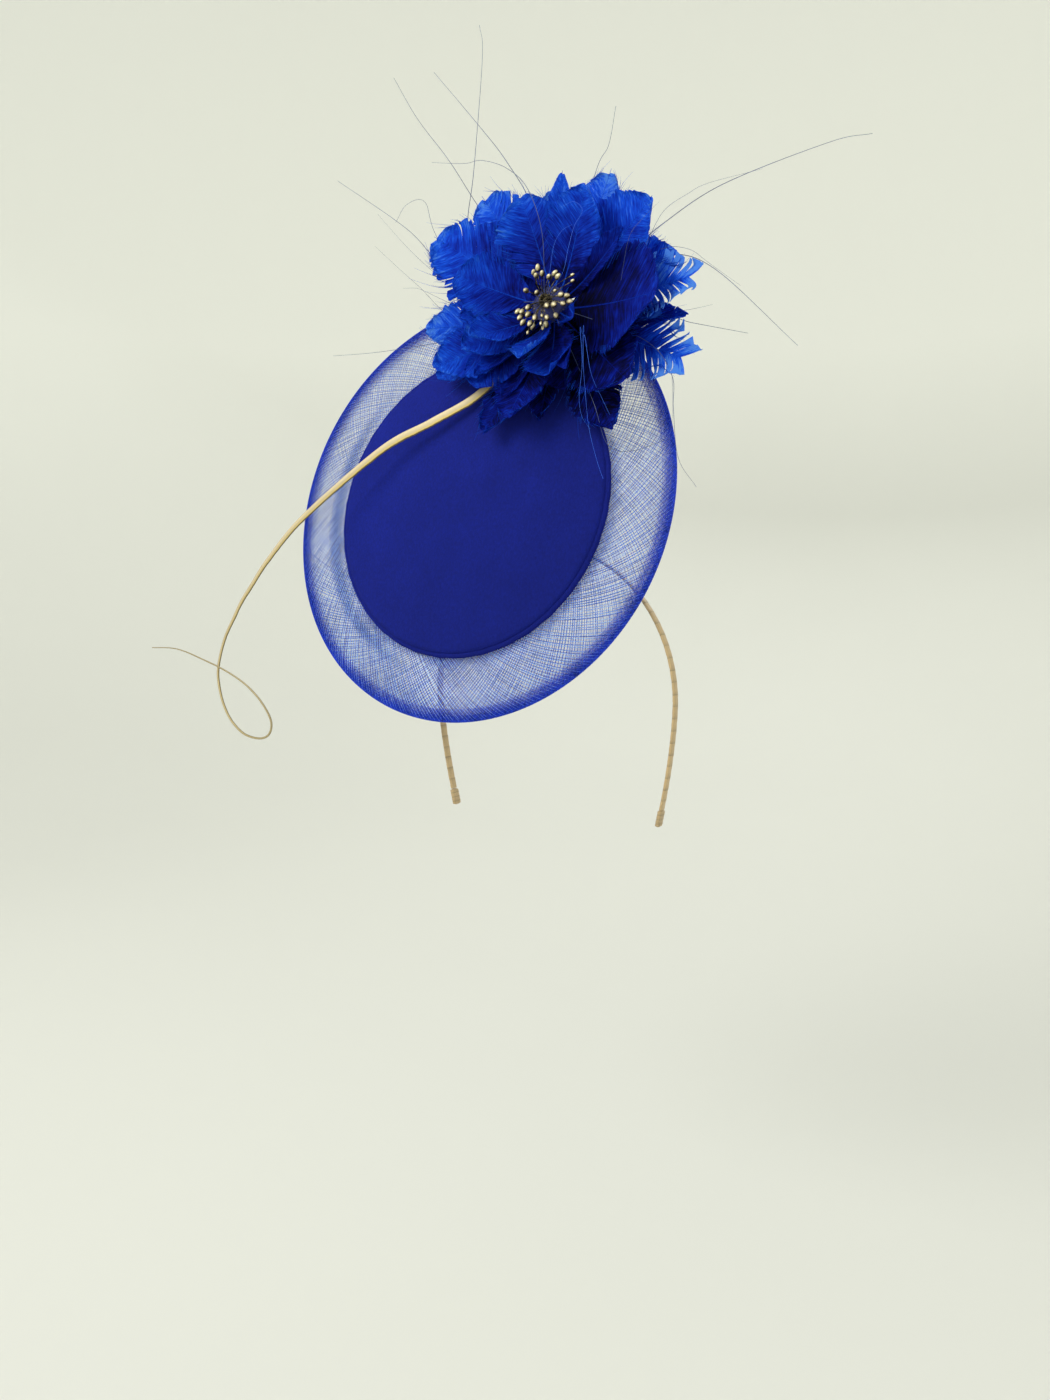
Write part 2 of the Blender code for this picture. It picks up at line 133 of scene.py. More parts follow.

# name, azimuth in degrees, then mm: reach, root height, tip height, width, cup; then how light
# the root and the tip are, how many splits each vane has and how ragged its edge is
# The root and tip lightness is painted shade and painted light: darker roots where the petals shade each
# other, lighter tips where light comes through, and darker petals on the lower right, away from the
# light.
PETAL_COLUMNS = ("name", "azimuth", "reach", "root", "tip", "width", "cup",
                 "root_tone", "tip_tone", "splits", "ragged")
PETALS = (
    ("low_petal_1", 126, 91, 7.0, 20, 40, 3.0, 0.25, 0.92, 5, 0.15),
    ("low_petal_2", 95, 72, 7.0, 16, 22, 2.0, 0.60, 1.10, 3, 0.14),
    ("low_petal_3", 67, 80, 7.0, 19, 31, 2.0, 0.28, 1.02, 4, 0.14),
    ("low_petal_4", 12, 78, 7.0, 18, 38, 3.0, 0.20, 0.78, 4, 0.13),
    ("low_petal_5", 333, 96, 7.0, 22, 35, 3.0, 0.06, 0.80, 10, 0.20),
    ("low_petal_6", 303, 94, 7.0, 20, 33, 2.0, 0.00, 0.30, 4, 0.13),
    ("low_petal_7", 273, 70, 7.0, 18, 21, 2.0, 0.04, 0.28, 3, 0.16),
    ("low_petal_8", 248, 82, 7.0, 22, 24, 2.0, 0.08, 0.38, 3, 0.16),
    ("low_petal_9", 207, 80, 7.0, 18, 26, 2.0, 0.22, 0.70, 3, 0.14),
    ("low_petal_10", 183, 85, 7.0, 18, 31, 3.0, 0.30, 0.98, 4, 0.15),
    ("mid_petal_1", 107, 64, 10.0, 32, 40, 4.0, 0.25, 0.84, 4, 0.14),
    ("mid_petal_2", 35, 78, 10.0, 30, 47, 4.0, 0.25, 0.84, 3, 0.10),
    ("mid_petal_3", 356, 90, 10.0, 32, 30, 4.0, 0.18, 0.86, 10, 0.20),
    ("mid_petal_4", 317, 86, 10.0, 34, 45, 4.0, 0.02, 0.32, 4, 0.11),
    ("mid_petal_5", 262, 73, 10.0, 30, 31, 3.0, 0.08, 0.42, 3, 0.12),
    ("mid_petal_6", 210, 74, 10.0, 31, 40, 4.0, 0.24, 0.78, 4, 0.11),
    ("mid_petal_7", 149, 88, 10.0, 32, 45, 4.0, 0.25, 0.80, 6, 0.17),
    ("top_petal_1", 347, 82, 13.0, 44, 59, 5.0, 0.08, 0.46, 2, 0.04),
    ("top_petal_2", 62, 60, 13.0, 40, 35, 4.0, 0.25, 0.80, 3, 0.08),
    ("top_petal_3", 164, 55, 13.0, 38, 35, 4.0, 0.30, 0.70, 3, 0.08),
    ("top_petal_4", 215, 52, 13.0, 36, 31, 4.0, 0.24, 0.76, 3, 0.09),
    ("top_petal_5", 287, 54, 13.0, 35, 31, 4.0, 0.15, 0.64, 3, 0.09),
    ("inner_petal_1", 222, 43, 15.8, 46, 24, 3.0, 0.30, 0.76, 2, 0.10),
    ("inner_petal_2", 275, 46, 15.8, 47, 21, 3.0, 0.35, 0.80, 2, 0.10),
    ("inner_petal_3", 322, 46, 15.8, 50, 11, 1.5, 0.20, 0.66, 1, 0.07),
)
# The small covering feathers have the same columns without a name
SMALL_FEATHERS = (
    (346, 92, 8.0, 24, 14, 2.0, 0.15, 0.62, 3, 0.08),
    (80, 66, 14.0, 38, 15, 2.0, 0.30, 0.84, 2, 0.05),
    (18, 62, 15.0, 47, 12, 2.0, 0.15, 0.55, 1, 0.05),
    (254, 62, 9.0, 26, 12, 2.0, 0.10, 0.45, 2, 0.06),
    (236, 58, 14.0, 36, 13, 2.0, 0.20, 0.60, 2, 0.05),
    (189, 52, 15.0, 33, 12, 2.0, 0.30, 0.74, 2, 0.05),
    (300, 60, 14.0, 40, 14, 2.0, 0.10, 0.50, 2, 0.05),
    (230, 63, 11.5, 26, 34, 3.0, 0.16, 0.62, 4, 0.04),
    (10, 56, 8.6, 21, 28, 2.0, 0.10, 0.50, 1, 0.04),
    (290, 58, 8.6, 21, 28, 2.0, 0.02, 0.30, 1, 0.04),
)
BARB_ROWS = 88
VANE_COLUMNS = 14
BARB_SWEEP = 0.22
MOST_FINE_SPLITS = 8
SHAFT_WIDTH = 1.05
FEATHER_THICKNESS = 0.35
# How far a slit's two edges part in barb rows, and where a vane's barbs bunch up at its end
SLIT_WIDTH = 0.94
VANE_LIMIT = 0.90
VANE_END = 0.10
# Loose barbs: how many each petal has and how many more for each split, how often one is long
# and by how much, and how light they are
LOOSE_BARBS = 40
LOOSE_BARBS_A_SPLIT = 9
LOOSE_BARB_WIDTH = 0.24
LONG_BARB_CHANCE = 0.12
LONG_BARB = 2.6
LOOSE_BARB_TONE = 0.74

# Beads: place in the disc's frame (mm) and 1 for a small one
BEADS = (
    (46.4, 121.2, 33.7, 0), (48.4, 114.7, 40.2, 0), (51.7, 111.1, 42.9, 0), (52.1, 114.8, 37.8, 0),
    (57.3, 111.7, 38.8, 0), (56.7, 117.0, 32.2, 0), (60.2, 113.6, 34.3, 0), (66.6, 115.6, 30.3, 1),
    (67.6, 111.7, 31.1, 1), (62.6, 103.6, 33.0, 0), (62.3, 106.5, 26.2, 0), (62.2, 100.5, 29.1, 0),
    (65.9, 101.5, 28.4, 0), (59.1, 106.0, 33.9, 1), (45.9, 104.0, 41.9, 0), (50.1, 104.5, 37.4, 0),
    (55.6, 97.7, 34.5, 0), (60.0, 97.6, 34.6, 0), (44.7, 97.4, 36.0, 0), (41.8, 95.0, 37.0, 0),
    (35.5, 98.7, 31.3, 0), (44.4, 94.1, 34.7, 0), (40.2, 92.4, 35.8, 0), (37.8, 93.3, 28.6, 0),
    (44.5, 90.3, 31.8, 0), (42.4, 91.9, 25.2, 0), (47.9, 92.7, 32.9, 0), (41.3, 87.4, 27.8, 1),
    (51.3, 94.1, 31.4, 1), (54.7, 92.5, 31.5, 0), (50.4, 92.3, 24.7, 0), (49.4, 89.6, 25.9, 1),
    (51.4, 89.5, 31.6, 1), (57.4, 95.4, 27.0, 0),
)

QUILL_ROUTE = (
    (38, 100.5, 5.0), (26, 88, 8.5), (4, 62, 13), (-24, 46, 17), (-55, 30, 21),
    (-100, -11, 29), (-120, -38.1, 32.9), (-129, -55, 34.8), (-134, -65, 35.9),
    (-137.9, -76.6, 36.9), (-141.3, -87.4, 37.7), (-142.4, -99.3, 38.5), (-141.6, -110, 39),
    (-137.3, -121.4, 39), (-130.9, -131.5, 39), (-123, -139.4, 38.9), (-113.5, -145, 39),
    (-103.4, -147.1, 39.8), (-94.8, -146.6, 41.1), (-90, -143.5, 42.2), (-89, -138, 43.3),
    (-91.8, -132.4, 44.4), (-98.7, -124.9, 45.8), (-108.2, -117.9, 47.2), (-119.2, -112.4, 48.3),
    (-131.4, -107.8, 48.9), (-145.3, -103.6, 49.5), (-160.2, -99.4, 50.1), (-171.6, -97.7, 50.9),
    (-187, -98, 52),
)
QUILL_TAPER = ((0, 1), (0.22, 0.96), (0.34, 0.8), (0.46, 0.56), (0.58, 0.32), (0.7, 0.26),
               (0.85, 0.2), (1, 0.1))
QUILL_FRONT = Vector((0.25, -0.15, 0.95)).normalized()
QUILL_STEPS = 420
QUILL_HALF_THICKNESS = 0.62

# Long bare strands: name, start azimuth, points in the disc's frame (mm)
STRANDS = (
    ("strand_1", 107, ((24, 172, 11), (10, 197, 24), (-6, 217, 34), (-34, 249, 46))),
    ("strand_2", 147, ((-14, 154, 9), (-17, 168, 17), (-8, 192, 30), (1, 248, 48), (-1, 265, 52))),
    ("strand_3", 133, ((-11, 176, 9), (-28, 203, 28), (-44, 224, 43), (-56, 245, 55))),
    ("strand_4", 80, ((60, 188, 8), (70, 200, 14), (74, 220, 18))),
    ("strand_5", 38, ((90, 142, 4.5), (104, 151, 6), (136, 169, 4), (188, 189, -8), (208, 193, -14))),
    ("strand_6", 157, ((-30, 144, 9), (-53, 165, 28), (-93, 191, 50))),
    ("strand_7", 22, ((100, 129, 5), (116, 132, 6), (139, 120, 2), (180, 81, -12))),
    ("strand_8", 350, ((110, 98, 6), (130, 90, 9), (158, 84, 2))),
)
STRAND_START_HEIGHT = 4.2
DARK_STRAND = (0.05, 0.075, 0.20)
# Painted sheen: the pale strands in front of the flower are the same kind as the dark ones, painted pale
# blue.
PALE_STRAND = (0.05, 0.17, 0.92)
# Shorter strands as points in the disc's frame (mm): fine ones, faint ones, then the pale ones in front
FINE_STRANDS = (
    ((42, 115, 17), (43.9, 143.5, 30), (35.1, 167.6, 36), (23.5, 178.9, 42), (8.7, 184.4, 46),
     (-2, 183.6, 48), (-23.2, 187.6, 50)),
    ((40, 112, 15), (-4.8, 117.8, 20), (-29.3, 156, 30), (-35.9, 174.5, 36), (-45.7, 172.2, 40),
     (-50.4, 160.7, 42)),
    ((40, 106, 12), (14.5, 99.7, 14), (-22.6, 98.1, 12), (-78.1, 99.7, 8), (-117.2, 102.7, 6)),
    ((52, 106, 16), (110.2, 76, 26), (125.8, 57.9, 20), (126.3, 41.6, 14), (129.3, 17.3, 8),
     (139.2, 2.6, 4)),
    ((50, 102, 15), (82.7, 47.9, 22), (89.4, 26.3, 12), (101, 23.8, 6), (120, 28.4, 6)),
)
FAINT_STRANDS = (
    ((-8, 124, 14), (-15.4, 127.1, 22), (-23.3, 129.9, 30), (-30.1, 135.0, 38), (-42.2, 146.4, 44),
     (-58, 163, 50)),
    ((-24, 112, 10), (-31.3, 118.9, 18), (-37.1, 125.5, 28), (-45.9, 133.0, 36), (-62, 147, 44)),
    ((-16, 117, 12), (-25.7, 120.2, 20), (-29.0, 120.8, 26), (-37.2, 123.9, 30), (-44.9, 123.2, 34)),
    ((112, 128, 20), (121.3, 125.7, 24), (132.8, 120.4, 26), (141.5, 113.5, 24), (156, 104, 14)),
    ((96, 108, 30), (105.2, 122.1, 44), (112.1, 129.6, 46), (123.1, 135.1, 50)),
    ((108, 126, 30), (121.0, 135.9, 40), (133.6, 143.1, 40), (142.2, 149.3, 36), (166, 158, 26)),
    ((110, 56, 10), (117.3, 61.7, 14), (129.5, 63.4, 16)),
    ((118, 74, 12), (122.3, 62.0, 12), (124.4, 40.7, 10), (123.1, 28.0, 8)),
    ((120, 92, 20), (131.5, 91.7, 20), (142.7, 94.8, 16)),
)
PALE_STRANDS = (
    ((80, 80, 34), (84.9, 78.2, 44), (88.6, 70.9, 50), (87.3, 57.7, 44),
     (84.7, 47.2, 34), (83, 31.4, 22), (86.7, 15.7, 16), (90.2, 6.5, 13.5)),
    ((79, 79, 34), (84.3, 75.5, 46), (85.6, 58.3, 42), (80.5, 44.6, 32),
     (78, 38.4, 22), (79.8, 34.3, 15)),
    ((80, 78, 34), (86.8, 70.7, 44), (89.3, 54.2, 38), (90.9, 45.5, 26),
     (92.9, 37.8, 16)),
    ((46, 112, 21), (68.4, 109, 44), (73.8, 118.7, 50), (77, 129.2, 52), (79.5, 138.7, 50),
     (71.6, 147.5, 46), (64.5, 147.8, 44)),
    ((46, 112, 21), (59.4, 114.2, 42), (62.5, 125.1, 46), (67.6, 130.9, 48), (72.7, 133.9, 47)),
)

# Camera, in metres and degrees, with the photo's frame of 1050 by 1400
CAMERA_PLACE = (0.300, -0.535, -0.0284)
CAMERA_YAW = 30.5
CAMERA_PITCH = -5.2
CAMERA_LENS = 37.44
FLOOR_HEIGHT = -0.42


class FascinatorSizes(bpy.types.PropertyGroup):
    """Sizes of the fine detail that the solids don't carry."""

    thread_pitch: FloatProperty(
        name="Thread pitch", description="Distance between crin threads across the weave",
        default=1.5 * MM, subtype="DISTANCE", unit="LENGTH")
    thread_width: FloatProperty(
        name="Thread width", description="Thickness of one crin thread",
        default=0.31 * MM, subtype="DISTANCE", unit="LENGTH")
    strand_width: FloatProperty(
        name="Strand width", description="Thickness of a bare feather strand at its root",
        default=0.55 * MM, subtype="DISTANCE", unit="LENGTH")
    bead_width: FloatProperty(
        name="Bead width", description="Width of a full-size stamen pearl",
        default=3.05 * MM, subtype="DISTANCE", unit="LENGTH")
    bead_length: FloatProperty(
        name="Bead length", description="Length of a full-size stamen pearl",
        default=4.2 * MM, subtype="DISTANCE", unit="LENGTH")
    quill_width: FloatProperty(
        name="Quill width", description="Width of the gilt quill at its root",
        default=5.0 * MM, subtype="DISTANCE", unit="LENGTH")
    wrap_pitch: FloatProperty(
        name="Wrap pitch", description="Distance between turns of the satin round the headband",
        default=6.5 * MM, subtype="DISTANCE", unit="LENGTH")


class FascinatorColours(bpy.types.PropertyGroup):
    """Base colours, linear."""

    crepe: FloatVectorProperty(
        name="Crepe", description="Cloth of the stiff base", subtype="COLOR", size=3,
        default=(0.006, 0.0130, 0.200), min=0, max=1)
    crin: FloatVectorProperty(
        name="Crin", description="Braid of the brim", subtype="COLOR", size=3,
        default=(0.22, 0.42, 1.0), min=0, max=1)
    crin_fold: FloatVectorProperty(
        name="Crin fold", description="Braid where it lies dense, at its fold", subtype="COLOR",
        size=3, default=(0.020, 0.055, 0.57), min=0, max=1)
    petal: FloatVectorProperty(
        name="Petal", description="Dyed feather in full light", subtype="COLOR", size=3,
        default=(0.006, 0.050, 0.63), min=0, max=1)
    gold: FloatVectorProperty(
        name="Gold", description="Antique gold of the pearls", subtype="COLOR", size=3,
        default=(0.62, 0.52, 0.27), min=0, max=1)
    gilt: FloatVectorProperty(
        name="Gilt", description="Champagne paint of the quill", subtype="COLOR", size=3,
        default=(0.67, 0.55, 0.325), min=0, max=1)
    satin: FloatVectorProperty(
        name="Satin", description="Ribbon wound round the headband", subtype="COLOR", size=3,
        default=(0.54, 0.39, 0.20), min=0, max=1)


# Shader building

class Wire:
    """A node's socket that takes part in Python arithmetic through Math nodes."""

    def __init__(self, finish, socket):
        self.finish = finish
        self.socket = socket

    def math(self, operation, *others):
        values = dict(enumerate((self, *others)))
        return self.finish.node("ShaderNodeMath", {"operation": operation}, values)

    def __add__(self, other):
        return self.math("ADD", other)

    __radd__ = __add__

    def __sub__(self, other):
        return self.math("SUBTRACT", other)

    def __rsub__(self, other):
        return (self * -1).math("ADD", other)

    def __mul__(self, other):
        return self.math("MULTIPLY", other)

    __rmul__ = __mul__

    def __truediv__(self, other):
        return self.math("DIVIDE", other)

    def __pow__(self, other):
        return self.math("POWER", other)


class Finish:
    """A material being put together from nodes."""

    def __init__(self, name, **constants):
        self.material = bpy.data.materials.new(name)
        self.material.use_nodes = True
        self.tree = self.material.node_tree
        self.shader = self.tree.nodes["Principled BSDF"]
        for socket, value in constants.items():
            self.shader.inputs[socket.replace("_", " ")].default_value = value

    def join(self, value, socket):
        if isinstance(value, Wire):
            self.tree.links.new(value.socket, socket)
        else:
            socket.default_value = value

    def node(self, kind, settings=None, values=None, output=0):
        """Adds a node: its settings first, then the values or links of its sockets."""
        made = self.tree.nodes.new(kind)
        for key, value in (settings or {}).items():
            if key == "stops":
                ramp = made.color_ramp
                while len(ramp.elements) < len(value):
                    ramp.elements.new(1)
                for element, (place, colour) in zip(ramp.elements, value):
                    element.position = place
                    element.color = colour
            else:
                setattr(made, key, value)
        for key, value in (values or {}).items():
            self.join(value, made.inputs[key])
        return Wire(self, made.outputs[output])

    def ramp(self, share, stops):
        stops = [(place, grey(c) if isinstance(c, (int, float)) else (*c[:3], 1)) for place, c in stops]
        return self.node("ShaderNodeValToRGB", {"stops": stops}, {"Fac": share})

    def shades(self, share, colour, *stops):
        """A ramp through shades of one colour, each stop a place and a factor."""
        return self.ramp(share, [(place, shade(colour, factor)) for place, factor in stops])

    def mix(self, share, first, second, blend="MIX"):
        pair = [(*c, 1) if isinstance(c, (tuple, list)) else c for c in (first, second)]
        return self.node("ShaderNodeMix", {"data_type": "RGBA", "blend_type": blend},
                         {0: share, 6: pair[0], 7: pair[1]}, output=2)

    def noise(self, place, scale, detail=2, rough=0.5):
        return self.node("ShaderNodeTexNoise", None,
                         {"Vector": place, "Scale": scale, "Detail": detail, "Roughness": rough})

    def object_place(self):
        return self.node("ShaderNodeTexCoord", None, None, output="Object")

    def uv(self):
        return self.node("ShaderNodeUVMap", {"uv_map": "UVMap"})

    def disc_place(self):
        """Object coordinates turned into the disc's own frame."""
        back = DISC.inverted()
        return self.node("ShaderNodeMapping", {"vector_type": "POINT"},
                         {"Vector": self.object_place(), "Location": back.to_translation(),
                          "Rotation": back.to_euler()})

    def stretch(self, place, scale):
        return self.node("ShaderNodeMapping", None, {"Vector": place, "Scale": scale})

    def parts(self, place):
        split = self.tree.nodes.new("ShaderNodeSeparateXYZ")
        self.join(place, split.inputs[0])
        return [Wire(self, split.outputs[k]) for k in range(3)]

    def colour(self, value):
        self.join(value, self.shader.inputs["Base Color"])

    def put(self, socket, value):
        self.join(value, self.shader.inputs[socket])

    def bump(self, height, depth, strength=1.0):
        self.put("Normal", self.node("ShaderNodeBump", None,
                                     {"Height": height, "Distance": depth, "Strength": strength}))


def grey(value):
    return (value, value, value, 1)


def shade(colour, factor):
    return tuple(min(1, part * factor) for part in colour)


def crepe_finish(colour):
    """Matte twisted-yarn cloth: crossed threads that wander, with a faint slub, and painted light that
    makes it lighter towards the wearer's right and the top of the disc.
    """
    finish = Finish("crepe", Roughness=0.82, Specular_IOR_Level=0.10)
    place = finish.disc_place()
    wander = finish.noise(place, 900, 2)
    across, along, _ = finish.parts(place)
    warp = (across * 12500 + wander * 12).math("SINE")
    weft = (along * 12500 + wander * 12).math("SINE")
    weave = (warp * weft) * 0.5 + 0.5
    slub = finish.noise(finish.stretch(place, (1, 0.55, 1)), 950, 3, 0.65)
    cloud = finish.noise(place, 38, 3)
    # Painted light: the across and along terms make the cloth lighter towards the wearer's right and the
    # top of the disc, the side of the key light.
    light = weave * 0.22 + slub * 0.62 + cloud * 0.25 - across * 1.1 + along * 0.9
    finish.colour(finish.shades(light, colour, (0.25, 0.62), (0.55, 1), (0.85, 1.55)))
    finish.put("Roughness", 0.72 + slub * 0.2)
    finish.bump(weave * 0.6 + slub * 0.8, 0.00012)
    return finish.material


def crin_thread_finish(name, colour, pale, gloss):
    """Glossy nylon thread, paler where it twists."""
    finish = Finish(name, Roughness=0.28, Specular_IOR_Level=gloss, Coat_Weight=gloss / 2,
                    Coat_Roughness=0.15)
    place = finish.object_place()
    cloud = finish.noise(place, 60, 3)
    fleck = finish.noise(place, 900, 2, 0.6)
    light = cloud * 0.3 + fleck * 0.7
    finish.colour(finish.ramp(light, [(0.34, shade(colour, 0.40)), (0.5, colour),
                                      (0.64, tuple(min(1, c * 1.3 + pale) for c in colour))]))
    finish.put("Roughness", 0.2 + fleck * 0.2)
    finish.bump(fleck, 0.00004)
    return finish.material


def crin_haze_finish(colour, fold):
    """The hazy mass of the finest threads: dense at the fold and under the base, open between."""
    finish = Finish("crin_haze", Roughness=0.55, Specular_IOR_Level=0.08)
    along, across, _ = finish.parts(finish.uv())
    from_fold = (across - 0.5).math("ABSOLUTE") * 2
    cloud = finish.noise(finish.object_place(), 70, 3)
    fine = finish.noise(finish.object_place(), 1300, 2)
    first = ((along * 1100 + across * 110) * math.tau).math("SINE")
    second = ((along * 1100 - across * 110) * math.tau).math("SINE")
    weave = (first * second) * 0.5 + 0.5
    edge = from_fold + (cloud - 0.5) * 0.16
    solid = finish.ramp(edge, [(0.0, 0.90), (0.10, 0.75), (0.17, 0.50), (0.27, 0.24), (0.36, 0.12),
                               (0.50, 0.04), (0.80, 0.04), (0.87, 0.34), (1.0, 0.40)])
    left, up, _ = finish.parts(finish.disc_place())
    radius = (left * left + up * up) ** 0.5 + (cloud - 0.5) * 0.004
    # The braid lies denser in a streak on the wearer's right; the density added along its lower side is
    # painted shade
    near = 1 - (radius - 0.1005).math("ABSOLUTE") / 0.0045
    streak = near.math("MAXIMUM", 0.0) * (-0.9 - left * 18 - up * 4).math("MAXIMUM", 0.0)
    low = (-0.40 - up * 9).math("MAXIMUM", 0.0)
    solid = solid + (streak * 0.9).math("MINIMUM", 0.42) + low * 0.22
    finish.put("Alpha", (solid * (0.70 + cloud * 0.35 + fine * 0.30)).math("MINIMUM", 1.0))
    skin = finish.ramp(from_fold, [(0.0, fold), (0.22, fold), (0.40, colour), (0.80, colour),
                                   (0.90, fold)])
    finish.colour(finish.mix(weave * 0.35 + fine * 0.35, skin, shade(fold, 0.7)))
    finish.put("Roughness", 0.35 + fine * 0.25)
    finish.bump(weave, 0.00008)
    return finish.material


def petal_finish(colour):
    """Dyed goose feather: barb lines along each row; its tone paints shade that makes it navy at the
    root and paints light that makes it bright at the tip.
    """
    finish = Finish("petal", Roughness=0.6, Specular_IOR_Level=0.05)
    tone = finish.node("ShaderNodeAttribute", {"attribute_name": "tone"}, output="Fac")
    row, across, _ = finish.parts(finish.uv())
    place = finish.object_place()
    strip = finish.stretch(finish.uv(), (1, 0.07, 1))
    fine = finish.noise(strip, 130, 2, 0.6)
    coarse = finish.noise(strip, 55, 2, 0.6)
    cloud = finish.noise(place, 110, 3)
    line = ((row * 75 + cloud * 3) * math.tau).math("SINE") * 0.5 + 0.5
    shaft = (across - 0.5).math("ABSOLUTE") * 2
    near = (1 - shaft * 9).math("MAXIMUM", 0.0)
    light = tone + (fine - 0.5) * 0.55 + (coarse - 0.5) * 0.65 + (cloud - 0.5) * 0.45
    light = light + (line - 0.5) * 0.06 + near * 0.05
    colours = [
        (0.00, (0.0010, 0.0010, 0.008)), (0.18, (0.0016, 0.0028, 0.070)),
        (0.38, (0.0030, 0.012, 0.30)), (0.60, colour),
        (0.80, tuple(c + d for c, d in zip(colour, (0.006, 0.08, 0.26)))),
        (1.00, (0.10, 0.32, 0.92)),
    ]
    skin = finish.ramp(light, colours)
    finish.colour(skin)
    finish.put("Roughness", 0.46 + fine * 0.25)
    finish.bump(line * 0.3 + fine * 0.8 + coarse * 0.9, 0.00030)
    glow = finish.tree.nodes.new("ShaderNodeBsdfTranslucent")
    finish.join(skin, glow.inputs["Color"])
    blend = finish.tree.nodes.new("ShaderNodeMixShader")
    blend.inputs[0].default_value = 0.32
    finish.tree.links.new(finish.shader.outputs[0], blend.inputs[1])
    finish.tree.links.new(glow.outputs[0], blend.inputs[2])
    output = finish.tree.nodes["Material Output"]
    finish.tree.links.new(blend.outputs[0], output.inputs["Surface"])
    return finish.material


def strand_finish(name, colour, gloss=0.6):
    finish = Finish(name, Roughness=0.35, Specular_IOR_Level=gloss)
    place = finish.object_place()
    patch = finish.noise(place, 130, 2)
    grain = finish.noise(place, 2400, 2)
    finish.colour(finish.shades(patch * 0.6 + grain * 0.4, colour, (0.3, 0.5), (0.5, 1), (0.75, 1.5)))
    finish.put("Roughness", 0.28 + grain * 0.2)
    finish.bump(grain, 0.00004)
    return finish.material


def pearl_finish(colour):
    """Antique gold pearl with painted light: bright with a painted highlight on the side that faces up
    and to the front, dark brown painted shade on the side turned away.
    """
    finish = Finish("antique_pearl", Metallic=0.55, Roughness=0.32, Coat_Weight=0.35,
                    Coat_Roughness=0.2)
    place = finish.object_place()
    patch = finish.noise(place, 480, 3)
    speck = finish.noise(place, 2600, 3, 0.7)
    rub = finish.node("ShaderNodeAttribute", {"attribute_name": "rub"}, output="Fac")
    # Painted light and shade: the attribute makes the side facing up and to the front bright and the far
    # side dark brown.
    light = patch * 0.40 + speck * 0.25 + rub * 0.85 - 0.44
    finish.colour(finish.ramp(light, [(0.28, (0.035, 0.02, 0.008)), (0.42, shade(colour, 0.32)),
                                      (0.54, colour), (0.74, (0.88, 0.80, 0.50))]))
    finish.put("Roughness", 0.24 + speck * 0.3)
    finish.bump(speck, 0.00006)
    return finish.material


def wire_finish(colour):
    finish = Finish("stamen_wire", Metallic=0.3, Roughness=0.5)
    place = finish.object_place()
    patch = finish.noise(place, 700, 3)
    finish.colour(finish.ramp(patch, [(0.38, (0.012, 0.009, 0.008)), (0.52, shade(colour, 0.16)),
                                      (0.68, shade(colour, 0.8))]))
    finish.put("Roughness", 0.4 + patch * 0.25)
    finish.bump(patch, 0.00005)
    return finish.material


def gilt_finish(colour):
    """Quill: champagne paint on the flat and a bright gold line along the lower edge, with painted shade
    darkening the lower edge and the back.
    """
    finish = Finish("gilt_quill", Metallic=0.25, Roughness=0.42, Coat_Weight=0.15,
                    Coat_Roughness=0.3)
    along, round_share, _ = finish.parts(finish.uv())
    place = finish.object_place()
    fleck = finish.noise(place, 1800, 3, 0.65)
    streak = finish.noise(place, 150, 3)
    edge = round_share + (fleck - 0.5) * 0.05 + (streak - 0.5) * 0.03
    # Round the section: painted shade along the lower edge, the bright gold line, the champagne flat,
    # then painted shade growing over the back.
    skin = finish.ramp(edge, [
        (0.00, (0.045, 0.030, 0.010)), (0.115, (0.09, 0.06, 0.02)), (0.135, (0.40, 0.28, 0.06)),
        (0.150, (0.86, 0.66, 0.17)), (0.195, (0.80, 0.60, 0.20)), (0.215, colour), (0.34, colour),
        (0.47, shade(colour, 0.82)), (0.60, shade(colour, 0.5)), (0.80, (0.16, 0.11, 0.03)),
        (0.95, (0.05, 0.034, 0.01)), (1.00, (0.045, 0.030, 0.010)),
    ])
    thin = finish.ramp(along, [(0.16, 0.0), (0.34, 0.22), (0.97, 0.80)])
    aged = finish.mix(thin, skin, (0.20, 0.155, 0.060))
    finish.colour(finish.mix(fleck * 0.35, aged, shade(colour, 0.55)))
    finish.put("Roughness", 0.34 + fleck * 0.25)
    finish.bump(fleck * 0.8 + streak * 0.4, 0.00010)
    return finish.material


def satin_finish(colour):
    """Narrow ribbon: fine threads across each turn and a darker lap line of painted shade where each
    turn steps down.
    """
    finish = Finish("satin_ribbon", Roughness=0.42, Sheen_Weight=0.2, Sheen_Roughness=0.4)
    along, around, _ = finish.parts(finish.uv())
    place = finish.object_place()
    cloud = finish.noise(place, 160, 3)
    lap = finish.node("ShaderNodeAttribute", {"attribute_name": "lap"}, output="Fac")
    thread = ((along * 900 + around * 16 + cloud * 0.6) * math.tau).math("SINE") * 0.5 + 0.5
    grain = finish.noise(place, 2200, 2)
    # Painted shade: the lap term darkens each turn towards its lap line.
    light = 0.62 - lap ** 6 * 0.5 + (cloud - 0.5) * 0.35 + (thread - 0.5) * 0.12 + (grain - 0.5) * 0.2
    finish.colour(finish.shades(light, colour, (0.05, 0.38), (0.35, 0.72), (0.62, 1), (0.9, 1.4)))
    finish.put("Roughness", 0.34 + cloud * 0.2)
    finish.bump(thread * 0.6 + grain * 0.5, 0.00008)
    return finish.material


